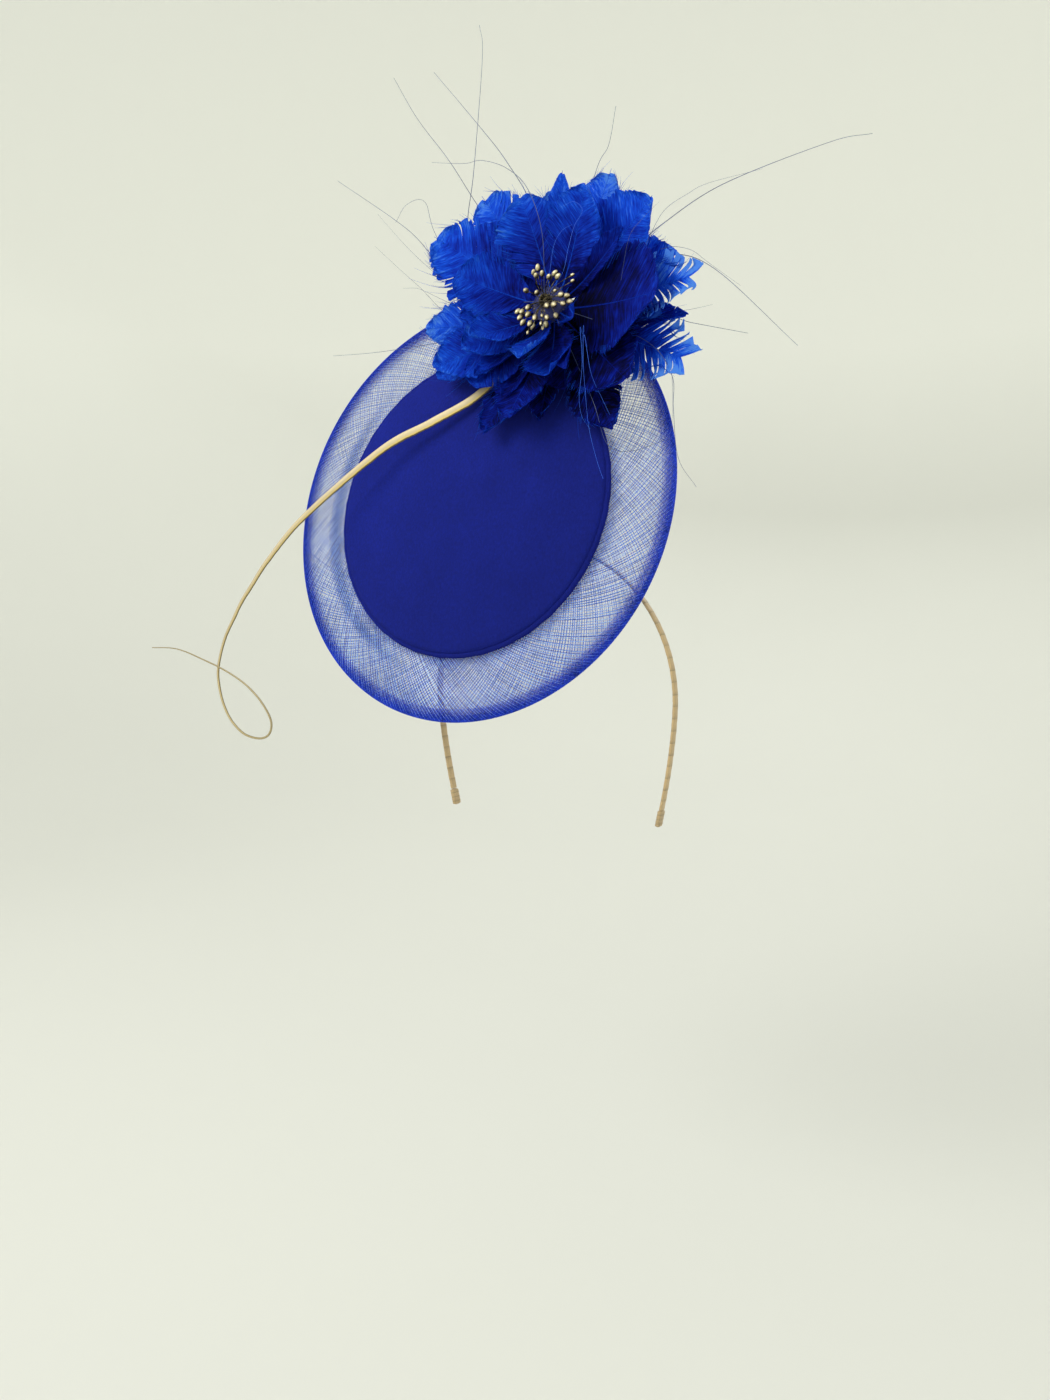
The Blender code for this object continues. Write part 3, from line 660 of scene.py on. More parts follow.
def felt_finish(name, colour):
    finish = Finish(name, Roughness=0.92, Sheen_Weight=0.3, Sheen_Roughness=0.6)
    place = finish.object_place()
    fibre = finish.noise(finish.stretch(place, (1, 1, 2.5)), 900, 4, 0.7)
    cloud = finish.noise(place, 200, 3)
    finish.colour(finish.shades(fibre * 0.6 + cloud * 0.4, colour, (0.3, 0.45), (0.5, 1), (0.7, 1.8)))
    finish.put("Roughness", 0.82 + fibre * 0.15)
    finish.bump(fibre, 0.00025)
    return finish.material


def paper_finish(name, colour):
    """Pale matt paper with painted light: it glows, and grows lighter where it rises behind the piece.
    """
    finish = Finish(name, Roughness=0.95, Specular_IOR_Level=0.05, Emission_Strength=0.185)
    _, _, height = finish.parts(finish.object_place())
    cloud = finish.noise(finish.object_place(), 1.5, 3)
    rise = (height - FLOOR_HEIGHT) * 0.8 + (cloud - 0.5) * 0.1
    # Painted light: colour and glow grow with height above the floor.
    finish.colour(finish.shades(rise, colour, (0.0, 0.84), (0.9, 1)))
    finish.put("Emission Color", finish.shades(rise, colour, (0.0, 0.05), (0.9, 1)))
    return finish.material


# Modelling

def on_disc(u, v, n):
    """A point of the disc's own frame, in mm, as metres in the model's frame."""
    return DISC @ Vector((u * MM, v * MM, n * MM))


def round_disc(radius, angle, height):
    """A point at an angle round the disc's middle, sizes in mm."""
    return on_disc(radius * math.cos(angle), radius * math.sin(angle), height)


def round_stem(radius, angle, height):
    """A place round the flower's axis in the disc's own frame, in mm."""
    return (STEM_PLACE[0] + radius * math.cos(angle), STEM_PLACE[1] + radius * math.sin(angle), height)


def select_only(*things):
    bpy.ops.object.select_all(action="DESELECT")
    for thing in things:
        thing.select_set(True)
    bpy.context.view_layer.objects.active = things[0]


def flat_grid(long_steps, cross_steps):
    """A flat grid primitive, -1..1 both ways, X along and Y across."""
    bpy.ops.object.select_all(action="DESELECT")
    bpy.ops.mesh.primitive_grid_add(x_subdivisions=long_steps, y_subdivisions=cross_steps, size=2)
    return bpy.context.object


def shape_grid(grid, shape):
    for vertex in grid.data.vertices:
        vertex.co = shape((vertex.co.x + 1) / 2, vertex.co.y)


def close_seams(thing, inside=False):
    select_only(thing)
    bpy.ops.object.mode_set(mode="EDIT")
    bpy.ops.mesh.select_all(action="SELECT")
    bpy.ops.mesh.remove_doubles(threshold=0.000004)
    bpy.ops.mesh.normals_make_consistent(inside=inside)
    bpy.ops.object.mode_set(mode="OBJECT")


def shaped_grid(long_steps, cross_steps, shape, inside=False):
    """A flat grid bent to a shape, its seams closed."""
    grid = flat_grid(long_steps, cross_steps)
    shape_grid(grid, shape)
    close_seams(grid, inside)
    return grid


def write_attribute(thing, name, values):
    """Gives each vertex a number that a finish reads by its name."""
    layer = thing.data.attributes.new(name, "FLOAT", "POINT")
    layer.data.foreach_set("value", values)


def add_wall(thing, thickness, offset):
    select_only(thing)
    wall = thing.modifiers.new("wall", "SOLIDIFY")
    wall.thickness = thickness
    wall.offset = offset
    wall.use_even_offset = False
    bpy.ops.object.modifier_apply(modifier=wall.name)


def join(first, *others):
    select_only(first, *others)
    bpy.ops.object.join()
    return first


def tubes(name, routes, thickness, round_steps=0):
    """Closed round threads. Each route is a list of (place, share of the thickness)."""
    data = bpy.data.curves.new(name, "CURVE")
    data.dimensions = "3D"
    data.bevel_depth = thickness / 2
    data.bevel_resolution = round_steps
    data.use_fill_caps = True
    for route in routes:
        spline = data.splines.new("POLY")
        spline.points.add(len(route) - 1)
        for point, (place, share) in zip(spline.points, route):
            point.co = (*place, 1)
            point.radius = share
    thing = bpy.data.objects.new(name, data)
    bpy.context.scene.collection.objects.link(thing)
    select_only(thing)
    bpy.ops.object.convert(target="MESH")
    made = bpy.context.object
    close_seams(made)
    return made


def finish_piece(thing, name, material, slot, *nodes, sharp=50):
    """Names a piece, gives it its finish and its place on the model."""
    thing.name = name
    thing.data.name = name
    thing.data.materials.clear()
    thing.data.materials.append(material)
    select_only(thing)
    bpy.ops.object.transform_apply(location=True, rotation=True, scale=True)
    bpy.ops.object.shade_smooth_by_angle(angle=math.radians(sharp))
    if nodes:
        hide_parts(*nodes)
    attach(thing, "root")
    return thing


def lengths_along(points):
    """How far along a path each of its points lies."""
    lengths = [0.0]
    for first, second in zip(points, points[1:]):
        lengths.append(lengths[-1] + (second - first).length)
    return lengths


def smooth_route(points, steps):
    """Evenly spaced samples of a Catmull-Rom curve through the points."""
    knots = [Vector(p) for p in points]
    knots = [2 * knots[0] - knots[1]] + knots + [2 * knots[-1] - knots[-2]]
    fine = []
    spans = 24
    for k in range(1, len(knots) - 2):
        before, start, end, after = knots[k - 1:k + 3]
        for j in range(spans):
            t = j / spans
            fine.append(0.5 * (2 * start + (end - before) * t
                               + (2 * before - 5 * start + 4 * end - after) * t * t
                               + (3 * start - before - 3 * end + after) * t ** 3))
    fine.append(knots[-2])
    lengths = lengths_along(fine)
    route = []
    place = 0
    for k in range(steps + 1):
        want = lengths[-1] * k / steps
        while place < len(fine) - 2 and lengths[place + 1] < want:
            place += 1
        span = max(1e-9, lengths[place + 1] - lengths[place])
        route.append(fine[place].lerp(fine[place + 1], (want - lengths[place]) / span))
    return route


def swept(route, sides, section, steps_around):
    """A closed form along a route: section(k, turn) gives its offset along (side, front)."""
    last = len(route) - 1

    def shape(along, across):
        ring = round(along * (last + 2)) - 1
        place = min(max(ring, 0), last)
        side, front = sides(place)
        if ring < 0 or ring > last:
            return route[place].copy()
        x, y = section(place, (across + 1) / 2)
        return route[place] + side * x + front * y

    return shaped_grid(last + 2, steps_around, shape)


# Pieces

def build_stage(context):
    """A pale bowl of a floor, soft light from all round and the camera."""
    profile = [(0, 0), (0.8, 0), (1.5, 0.05), (2.1, 0.3), (2.6, 0.8), (2.9, 1.5), (3.0, 2.4), (3.0, 3.2)]
    steps = 40
    route = smooth_route([(r, 0, h) for r, h in profile], steps)

    def shape(along, across):
        point = route[round((across + 1) / 2 * steps)]
        angle = along * math.tau
        return Vector((point.x * math.cos(angle), point.x * math.sin(angle), FLOOR_HEIGHT + point.z))

    bowl = shaped_grid(96, steps, shape, inside=True)
    bowl.name = "pale_floor"
    bowl.data.materials.append(paper_finish("pale_paper", (0.84, 0.85, 0.785)))
    bpy.ops.object.shade_smooth()

    world = context.scene.world or bpy.data.worlds.new("studio")
    context.scene.world = world
    world.use_nodes = True
    sky = world.node_tree.nodes["Background"]
    sky.inputs["Color"].default_value = (1.0, 1.0, 0.985, 1)
    sky.inputs["Strength"].default_value = 0.50
    for name, place, size, power, colour in (
        ("key_light", (-0.75, -1.25, 1.05), 1.1, 17, (1.0, 0.99, 0.97)),
        ("fill_light", (1.5, -0.7, 0.4), 1.3, 6, (0.97, 0.98, 1.0)),
        ("back_light", (-0.3, 1.5, 1.3), 1.5, 14, (1.0, 1.0, 1.0)),
    ):
        bpy.ops.object.light_add(type="AREA", location=place)
        light = context.object
        light.name = name
        light.data.shape = "DISK"
        light.data.size = size
        light.data.energy = power
        light.data.color = colour
        light.rotation_euler = (DISC_CENTRE - Vector(place)).to_track_quat("-Z", "Y").to_euler()

    turn = (math.radians(90 + CAMERA_PITCH), 0, math.radians(CAMERA_YAW))
    bpy.ops.object.camera_add(location=CAMERA_PLACE, rotation=turn)
    camera = context.object
    camera.data.sensor_fit = "HORIZONTAL"
    camera.data.sensor_width = 36
    camera.data.lens = CAMERA_LENS
    camera.data.clip_start = 0.01
    camera.data.clip_end = 50
    context.scene.camera = camera
    context.scene.view_settings.view_transform = "Standard"


def build_base(context):
    """The crepe-covered dish and the rolled edge that hides the stitching."""
    steps = 60
    outer = smooth_route([(r, 0, h) for r, h in BASE_PROFILE], steps)

    def shape(along, across):
        point = outer[round((across + 1) / 2 * steps)]
        angle = along * math.tau
        share = point.x / BASE_RADIUS
        sag = BASE_SAG * math.sin(3 * angle + 0.6) * share * (1 - share ** 6)
        return round_disc(point.x, angle, point.z + sag)

    dish = shaped_grid(160, steps, shape)
    face_out(dish)
    add_wall(dish, BASE_WALL * MM, -1)
    colours = context.scene.fascinator_colours
    crepe = crepe_finish(colours.crepe)
    finish_piece(dish, "crepe_base", crepe, "base_crepe", "base")

    ring = []
    around = 220
    for k in range(around + 1):
        angle = math.tau * k / around
        radius = ROLL_RADIUS + 0.12 * math.sin(angle * 37) + 0.08 * math.sin(angle * 61 + 1)
        ring.append((round_disc(radius, angle, ROLL_HEIGHT), 1))
    roll = tubes("base_roll", [ring], ROLL_THICKNESS * MM, 3)
    finish_piece(roll, "base_roll", crepe, "base_crepe")


def face_out(thing):
    """Turns an open shell's faces so that they look along the disc's front."""
    front = DISC.to_3x3() @ Vector((0, 0, 1))
    lean = sum((p.normal.dot(front) * p.area for p in thing.data.polygons), 0.0)
    if lean < 0:
        select_only(thing)
        bpy.ops.object.mode_set(mode="EDIT")
        bpy.ops.mesh.select_all(action="SELECT")
        bpy.ops.mesh.flip_normals()
        bpy.ops.object.mode_set(mode="OBJECT")


def brim_route(steps, inset):
    """The crin's path over the folded strip, as (radius, height) pairs, dense at the fold."""
    fine = 400
    route = smooth_route([(r, 0, h) for r, h in BRIM_PROFILE], fine)
    pairs = []
    for k in range(steps + 1):
        share = 2 * k / steps - 1
        share = 0.5 + 0.5 * math.copysign(abs(share) ** FOLD_CROWDING, share)
        place = min(int(share * fine), fine - 1)
        here = route[place]
        step = (route[place + 1] - here).normalized()
        inward = Vector((step.z, 0, -step.x))
        if inward.dot(Vector((BRIM_MIDDLE - here.x, 0, -here.z))) < 0:
            inward.negate()
        pairs.append((here.x + inward.x * inset, here.z + inward.z * inset))
    return pairs


def on_brim(radius, angle, height, waver=0.0):
    """A point of the crin, which ripples a little more towards its fold."""
    reach = max(0, (radius - BRIM_RIPPLE_START) / 30)
    ripple = BRIM_RIPPLE * math.sin(5 * angle + 1.2) * reach
    return round_disc(radius + waver, angle, height + ripple)


def build_brim(context):
    """Crin braid: two families of slanting threads over a folded haze, dense at the fold."""
    sizes = context.scene.fascinator_sizes
    colours = context.scene.fascinator_colours
    haze = crin_haze_finish(shade(colours.crin, 0.45), tuple(colours.crin_fold))
    light = crin_thread_finish("crin_thread", tuple(colours.crin), 0.25, 0.6)
    # Painted shade: the right-slanting threads get the crin colour darkened, and the left-slanting ones
    # stay light.
    deep_shade = tuple(c * d for c, d in zip(colours.crin, DEEP_THREAD_SHADE))
    deep = crin_thread_finish("crin_deep_thread", deep_shade, 0.05, 0.3)
    fold = crin_thread_finish("crin_fold_thread", tuple(colours.crin_fold), 0.0, 0.08)
    chance = random.Random(5)

    across_steps = 40
    path = brim_route(across_steps, HAZE_INSET)

    def shape(along, across):
        radius, height = path[round((across + 1) / 2 * across_steps)]
        return on_brim(radius, along * math.tau, height)

    sheet = shaped_grid(220, across_steps, shape)
    finish_piece(sheet, "crin_haze", haze, "crin", "brim")

    spacing = sizes.thread_pitch / MM * math.sqrt(2)
    count = round(math.tau * BRIM_MIDDLE / spacing)
    for name, slant, inset, thread in (("crin_threads_left", 1, 0.12, light),
                                       ("crin_threads_right", -1, 0.30, deep)):
        path = brim_route(20, inset)
        turns = [0.0]
        for (r1, h1), (r2, h2) in zip(path, path[1:]):
            turns.append(turns[-1] + math.hypot(r2 - r1, h2 - h1) / ((r1 + r2) / 2))
        routes = []
        for k in range(count):
            start = math.tau * (k + chance.uniform(-THREAD_STRAY, THREAD_STRAY)) / count
            route = []
            for (radius, height), turn in zip(path, turns):
                angle = start + slant * turn
                thickness = THREAD_SHARE - THREAD_SWELL * math.sin(angle)
                route.append((on_brim(radius, angle, height), thickness))
            routes.append(route)
        weave = tubes(name, routes, sizes.thread_width)
        finish_piece(weave, name, thread, "crin")

    rings = []
    around = 180
    for k in range(FOLD_RINGS):
        share = k / (FOLD_RINGS - 1)
        inset = FOLD_DEPTH * share ** FOLD_CROWDING
        rise = min(FOLD_RISE, 0.30 + math.sqrt(inset) * 0.62)
        for height in (rise - 0.05, -rise - 0.15):
            ring = []
            for j in range(around + 1):
                angle = math.tau * j / around
                waver = 0.12 * share * math.sin(23 * angle + k)
                place = on_brim(FOLD_RADIUS - inset, angle, height, waver)
                ring.append((place, 1.6 - 0.8 * share))
            rings.append(ring)
    edge = tubes("crin_fold_threads", rings, FOLD_THREAD * MM)
    finish_piece(edge, "crin_fold_threads", fold, "crin")


def band_point(share):
    """The strip's inner line in mm: share -1..1 from the right tip over the top to the left."""
    side = math.copysign(1, share)
    part = abs(share)
    if part < BAND_ARCH_SHARE:
        angle = part / BAND_ARCH_SHARE * math.pi / 2
        across = BAND_HALF_WIDTH * math.sin(angle)
        down = BAND_ARCH_HEIGHT * (1 - math.cos(angle))
    else:
        leg = (part - BAND_ARCH_SHARE) / (1 - BAND_ARCH_SHARE)
        across = BAND_HALF_WIDTH - BAND_LEG_INWARD * leg ** 1.6
        down = BAND_ARCH_HEIGHT + BAND_LEG_LENGTH * leg
    return Vector((side * across, down * math.sin(BAND_LEAN), -down * math.cos(BAND_LEAN)))


def wound_strip(points, size, pitch, lap_height, rounding=0.0):
    """A flat strip wound with ribbon: its surface steps down at each lap. Sizes in mm."""
    width, thickness = size
    lengths = lengths_along(points)

    def sides(k):
        ahead = points[min(k + 1, len(points) - 1)]
        behind = points[max(k - 1, 0)]
        along = (ahead - behind).normalized()
        side = Vector((0, 1, 0))
        front = side.cross(along).normalized()
        return side * MM, front * MM

    def section(k, turn):
        angle = turn * math.tau
        flat = abs(math.cos(angle)) ** 0.55 * math.copysign(1, math.cos(angle))
        high = abs(math.sin(angle)) ** 0.55 * math.copysign(1, math.sin(angle))
        lap = (lengths[k] / pitch + turn + 0.08 * math.sin(lengths[k] * 0.9)) % 1
        lift = lap_height * lap ** 0.6
        ends = min(lengths[k], lengths[-1] - lengths[k])
        round_end = min(1, 0.45 + ends / rounding) if rounding else 1
        return flat * (width / 2 + lift) * round_end, high * (thickness / 2 + lift) * round_end

    return swept([p * MM for p in points], sides, section, 20)


def lap_attribute(strip, points, pitch):
    """Writes how far each point is along its turn of ribbon, for the finish to read."""
    marks = list(zip(points, lengths_along(points)))
    values = []
    place = 0
    # A vertex mostly lies near the one before it, so the marks round the last place come first
    window = 12
    too_far = 8
    for vertex in strip.data.vertices:
        here = vertex.co / MM
        best = min(range(max(0, place - window), min(len(marks), place + window + 1)),
                   key=lambda k: (marks[k][0] - here).length_squared)
        if (marks[best][0] - here).length > too_far:
            best = min(range(len(marks)), key=lambda k: (marks[k][0] - here).length_squared)
        place = best
        values.append((marks[best][1] / pitch) % 1)
    write_attribute(strip, "lap", values)


def build_headband(context):
    """The metal band under its ribbon, and the two wound tips."""
    colours = context.scene.fascinator_colours
    pitch = context.scene.fascinator_sizes.wrap_pitch / MM
    satin = satin_finish(colours.satin)
    steps = 560
    points = []
    for k in range(steps + 1):
        share = 2 * k / steps - 1
        here = band_point(share)
        ahead = band_point(min(1, share + 0.004)) - band_point(max(-1, share - 0.004))
        outward = Vector((0, 1, 0)).cross(ahead.normalized())
        if outward.dot(here - Vector((0, 0, -90))) < 0:
            outward.negate()
        points.append(here + outward * BAND_MIDDLE)
    band = wound_strip(points, BAND_SECTION, pitch, BAND_LAP_HEIGHT)
    lap_attribute(band, points, pitch)
    finish_piece(band, "wound_headband", satin, "band_satin", "headband", sharp=70)

    for side, node in ((1, "band_tip_left"), (-1, "band_tip_right")):
        end = band_point(side)
        down = (end - band_point(side * 0.97)).normalized()
        outward = Vector((0, 1, 0)).cross(down)
        if outward.x * side < 0:
            outward.negate()
        start = end + outward * BAND_MIDDLE + down * (BAND_TIP_GAP - 0.1)
        route = [start + down * (BAND_TIP_LENGTH + 0.1) * k / 30 for k in range(31)]
        tip = wound_strip(route, TIP_SECTION, TIP_PITCH, TIP_LAP_HEIGHT, TIP_ROUNDING)
        lap_attribute(tip, route, TIP_PITCH)
        finish_piece(tip, "wound_" + node, satin, "band_tip", node, sharp=70)


def feather_width(petal, along):
    """Half the width of a feather petal: a slim root, a full shoulder and its own kind of end."""
    if along < PETAL_SHOULDER:
        body = math.sin(math.pi / 2 * max(0, along) / PETAL_SHOULDER) ** 1.3
    else:
        body = max(0, 1 - ((along - PETAL_SHOULDER) / PETAL_END) ** 2) ** petal["point"]
        body = max(body, petal["blunt"])
    root = PETAL_ROOT_WIDTH / 2 * (1 - along) ** 2
    return root + body * (petal["width"] / 2 - root)


def petal_place(petal, along, across, lift=0.0, half_width=None):
    """A point of a petal in the model's frame."""
    azimuth = math.radians(petal["azimuth"])
    outward = Vector((math.cos(azimuth), math.sin(azimuth), 0))
    sideways = Vector((-math.sin(azimuth), math.cos(azimuth), 0))
    distance = PETAL_ROOT_RADIUS + (petal["reach"] - PETAL_ROOT_RADIUS) * along
    reach = min(max(along, 0), 1)
    height = petal["root"] + (petal["tip"] - petal["root"]) * reach ** 1.2
    height += petal["cup"] * across ** 2 * math.sin(math.pi * min(1, reach * 0.9)) * reach
    height += PETAL_SHINGLE * across * math.sin(math.pi * reach ** 0.7)
    height += petal["wave"] * abs(across) * reach * math.sin(petal["phase"] + 9 * reach + 2 * across)
    height -= 0.9 * math.exp(-(across * 7) ** 2) * math.sin(math.pi * reach)
    side = across * (half_width or feather_width(petal, along))
    tuck = abs(across) ** 3 * 3 * reach
    point = Vector((*STEM_PLACE, 0)) + outward * (distance - tuck) + sideways * side
    return on_disc(point.x, point.y, height + lift)


def barb_clumps(petal, chance):
    """Barbs cling together in clumps: for each row, how far its clump reaches, slides and lifts."""
    rows = []
    while len(rows) <= BARB_ROWS:
        reach, slide, rise = (chance.uniform(-1, 0.4) * petal["ragged"],
                              chance.uniform(-0.010, 0.010), chance.uniform(-0.8, 0.8))
        size = chance.randint(3, 9)
        for k in range(size):
            middle = 1 - (2 * k / (size - 1) - 1) ** 2
            rows.append((0.97 + reach + (0.03 + petal["ragged"] * 0.7) * middle
                         + chance.uniform(-0.2, 0.2) * petal["ragged"], slide, rise * middle))
    return rows


def barb_splits(petal, chance):
    """Each vane's splits: row, rows left out, where on a column it starts, opening and lift."""
    column = 2 / VANE_COLUMNS
    frayed = petal["frayed"]
    places = range(34, BARB_ROWS - 4, 5) if frayed else range(20, BARB_ROWS - 5, 4)
    starts = (0.1, 0.4) if frayed else (0.3, 0.7)
    splits = {}
    for side in (-1, 1):
        rows = sorted(chance.sample(places, petal["splits"]))
        splits[side] = [(row, 2 if frayed else 1, round(chance.uniform(*starts), 1) // column * column,
                         chance.uniform(-0.016, 0.022), chance.uniform(-0.6, 0.6)) for row in rows]
    return splits


def open_splits(grid, splits):
    """Takes the faces that lie in a split out of a flat vane."""
    bpy.ops.object.mode_set(mode="EDIT")
    bpy.ops.mesh.select_mode(type="FACE")
    bpy.ops.mesh.select_all(action="DESELECT")
    bpy.ops.object.mode_set(mode="OBJECT")
    for polygon in grid.data.polygons:
        row = int((polygon.center.x + 1) / 2 * BARB_ROWS)
        out = polygon.center.y
        polygon.select = any(cut <= row < cut + gap and abs(out) > start
                             for cut, gap, start, _, _ in splits[1 if out > 0 else -1])
    bpy.ops.object.mode_set(mode="EDIT")
    bpy.ops.mesh.delete(type="ONLY_FACE")
    bpy.ops.mesh.select_mode(type="VERT")
    bpy.ops.mesh.select_all(action="SELECT")
    bpy.ops.mesh.delete_loose(use_verts=True, use_edges=True, use_faces=False)
    bpy.ops.object.mode_set(mode="OBJECT")


def make_feather(petal, chance):
    """A vane of barb rows that sweep towards the tip, split and ragged, with its shaft."""
    frayed = petal["splits"] > MOST_FINE_SPLITS
    petal["frayed"] = frayed
    petal["wave"] = chance.uniform(0.9, 1.9)
    petal["point"] = chance.uniform(0.55, 0.85)
    petal["blunt"] = 0.5 if frayed else 0
    petal["phase"] = chance.uniform(0, math.tau)
    splits = barb_splits(petal, chance)
    clumps = {side: barb_clumps(petal, chance) for side in (-1, 1)}
    grid = flat_grid(BARB_ROWS, VANE_COLUMNS)
    open_splits(grid, splits)

    tones = []

    def shape(along, across):
        row = round(along * BARB_ROWS)
        side = 1 if across > 0 else -1
        out = abs(across)
        sweep = BARB_SWEEP * out * math.sin(math.pi * along) ** 1.1
        if frayed and along > 0.5:
            sweep = out * (BARB_SWEEP - 0.2 * (along - 0.5))
        lift = 0.10 * math.sin(row * math.pi / 2) * min(1, out * 3)
        reach, slide, rise = clumps[side][row]
        sweep += slide * out ** 2
        lift += rise * out ** 2
        for cut, gap, start, open_by, lift_by in splits[side]:
            if out < start - 0.001:
                continue
            part = (out - start) / (1 - start)
            if row in (cut, cut + gap):
                sweep += (0.5 if row == cut else -0.5) * gap * SLIT_WIDTH * (1 - part) / BARB_ROWS
            if row > cut:
                near = part ** 2 * math.exp(-(row - cut) / 9)
                sweep += open_by * near
                lift += lift_by * near
        place = along + sweep
        spot = across * (1 + (reach - 1) * out ** 2)
        limit = VANE_LIMIT + 0.45 * (reach - 1)
        if place > limit and not frayed:
            place = limit + VANE_END * (1 - math.exp((limit - place) / VANE_END))
        # The tone carries painted shade at the root and painted light at the tip, shifted a little by
        # each barb's place across the vane and by its clump; frayed vanes get lighter towards their
        # outer edge.
        outward = min(1, max(0, place)) ** 1.3
        light = petal["root_tone"] + (petal["tip_tone"] - petal["root_tone"]) * outward
        light += 0.07 * (out - 0.5) + (reach - 1) * 0.6
        if frayed:
            light += 0.28 * out * outward
        tones.append(light)
        half_width = feather_width(petal, along) if frayed else None
        return petal_place(petal, place, spot, lift, half_width)

    shape_grid(grid, shape)
    write_attribute(grid, "tone", tones)
    close_seams(grid)
    face_out(grid)
    add_wall(grid, FEATHER_THICKNESS * MM, 0)

    shaft = []
    for k in range(21):
        along = k / 20 * 0.985
        shaft.append((petal_place(petal, along, 0, 0.22), 1 - 0.82 * along))
    spine = tubes("shaft", [shaft], SHAFT_WIDTH * MM, 1)
    # The shaft's tone follows the painted light of the petal's tip.
    light = min(0.95, petal["tip_tone"] * 0.6 + 0.22)
    write_attribute(spine, "tone", [light] * len(spine.data.vertices))
    return join(grid, spine)


def build_petals(context):
    """One dyed feather for each petal, small ones between them and loose barbs at the edges."""
    finish = petal_finish(tuple(context.scene.fascinator_colours.petal))
    chance = random.Random(41)
    petals = [dict(zip(PETAL_COLUMNS, row)) for row in PETALS]
    for petal in petals:
        feather = make_feather(petal, chance)
        finish_piece(feather, "feather_" + petal["name"], finish, "feather", petal["name"])
    small = []
    for row in SMALL_FEATHERS:
        petal = dict(zip(PETAL_COLUMNS[1:], row))
        small.append(make_feather(petal, chance))
    finish_piece(join(*small), "small_feathers", finish, "feather")

    routes = []
    for petal in petals:
        for _ in range(LOOSE_BARBS + LOOSE_BARBS_A_SPLIT * petal["splits"]):
            side = chance.choice((-1, 1))
            along = chance.uniform(0.25, 0.985)
            length = chance.uniform(0.8, 3.4) * (1 + petal["ragged"] * 4)
            if chance.random() < LONG_BARB_CHANCE:
                length *= LONG_BARB
            routes.append(loose_barb(petal, along, side, length, chance))
    barbs = tubes("loose_barbs", routes, LOOSE_BARB_WIDTH * MM)
    write_attribute(barbs, "tone", [LOOSE_BARB_TONE] * len(barbs.data.vertices))
    finish_piece(barbs, "loose_barbs", finish, "feather")


def loose_barb(petal, along, side, length, chance):
    """A stray barb that leaves the vane near its edge and curls past it."""
    inner = petal_place(petal, along - 0.05, side * 0.84, 0.15)
    edge = petal_place(petal, along, side * 0.985, 0.1)
    ahead = (edge - inner).normalized()
    tipward = (petal_place(petal, min(1, along + 0.05), side * 0.9) - inner).normalized()
    front = DISC.to_3x3() @ Vector((0, 0, 1))
    curl = chance.uniform(-0.3, 0.9)
    drift = chance.uniform(-0.4, 0.7)
    route = [(inner, 1), (edge, 0.9)]
    for k in range(1, 5):
        share = k / 4
        step = ahead * share + tipward * share ** 2 * drift + front * share ** 2 * curl * 0.6
        route.append((edge + step * length * MM, 0.9 - 0.65 * share))
    return route


def turn_of_thread(radius, height, pitch, steps, share=1):
    """One rising turn round the flower's axis, sizes in mm, for tubes()."""
    turn = []
    for k in range(steps + 1):
        angle = math.tau * k / steps
        turn.append((on_disc(*round_stem(radius, angle, height + pitch * k / steps)), share))
    return turn


def build_stamens(context):
    """Gold pearls on curved wires that spring from one bound knob."""
    sizes = context.scene.fascinator_sizes
    colours = context.scene.fascinator_colours
    chance = random.Random(7)
    foot = Vector((*STEM_PLACE, KNOB_HEIGHT))

    bpy.ops.object.select_all(action="DESELECT")
    bpy.ops.mesh.primitive_uv_sphere_add(segments=16, ring_count=10, radius=1)
    model = context.object
    for vertex in model.data.vertices:
        swell = 1 - 0.12 * vertex.co.z
        vertex.co = Vector((vertex.co.x * sizes.bead_width / 2 * swell,
                            vertex.co.y * sizes.bead_width / 2 * swell,
                            vertex.co.z * sizes.bead_length / 2))
    wires = []
    beads = []
    for u, v, n, small in BEADS:
        end = Vector((u, v, n))
        reach = end - foot
        start = foot + reach.normalized() * KNOB_RADIUS * 0.6
        bow = Vector((chance.uniform(-1, 1), chance.uniform(-1, 1), 1.5))
        middle = start.lerp(end, 0.5) + bow
        route = smooth_route([start, middle, end], 8)
        wires.append([(on_disc(*p), 1) for p in route])
        size = 0.62 if small else chance.uniform(0.9, 1.06)
        tail = (DISC.to_3x3() @ (route[-1] - route[-2])).normalized()
        bead = model.copy()
        bead.data = model.data.copy()
        context.scene.collection.objects.link(bead)
        turn = tail.to_track_quat("Z", "Y").to_matrix().to_4x4()
        bead.data.transform(Matrix.Translation(on_disc(*end)) @ turn @ Matrix.Scale(size, 4))
        beads.append(bead)
    bpy.data.objects.remove(model, do_unlink=True)
    pearls = join(*beads)
    # How much each point of a pearl faces up and to the front, for painted light on that side and
    # painted shade on the side turned away.
    front = DISC.to_3x3() @ Vector((-0.15, 0.25, 0.95))
    write_attribute(pearls, "rub", [0.5 + 0.5 * v.normal.dot(front) for v in pearls.data.vertices])
    finish_piece(pearls, "stamen_pearls", pearl_finish(colours.gold), "stamen_gold", "stamens")

    for k in range(KNOB_TURNS):
        height = KNOB_HEIGHT - KNOB_RADIUS + 0.25 + k * STAMEN_WIRE
        radius = math.sqrt(max(0.6, KNOB_RADIUS ** 2 - (height - KNOB_HEIGHT) ** 2))
        wires.append(turn_of_thread(radius, height, STAMEN_WIRE, 24, KNOB_THREAD_SHARE))
    stems = tubes("stamen_wires", wires, STAMEN_WIRE * MM, 1)
    finish_piece(stems, "stamen_wires", wire_finish(colours.gold), "stamen_gold")


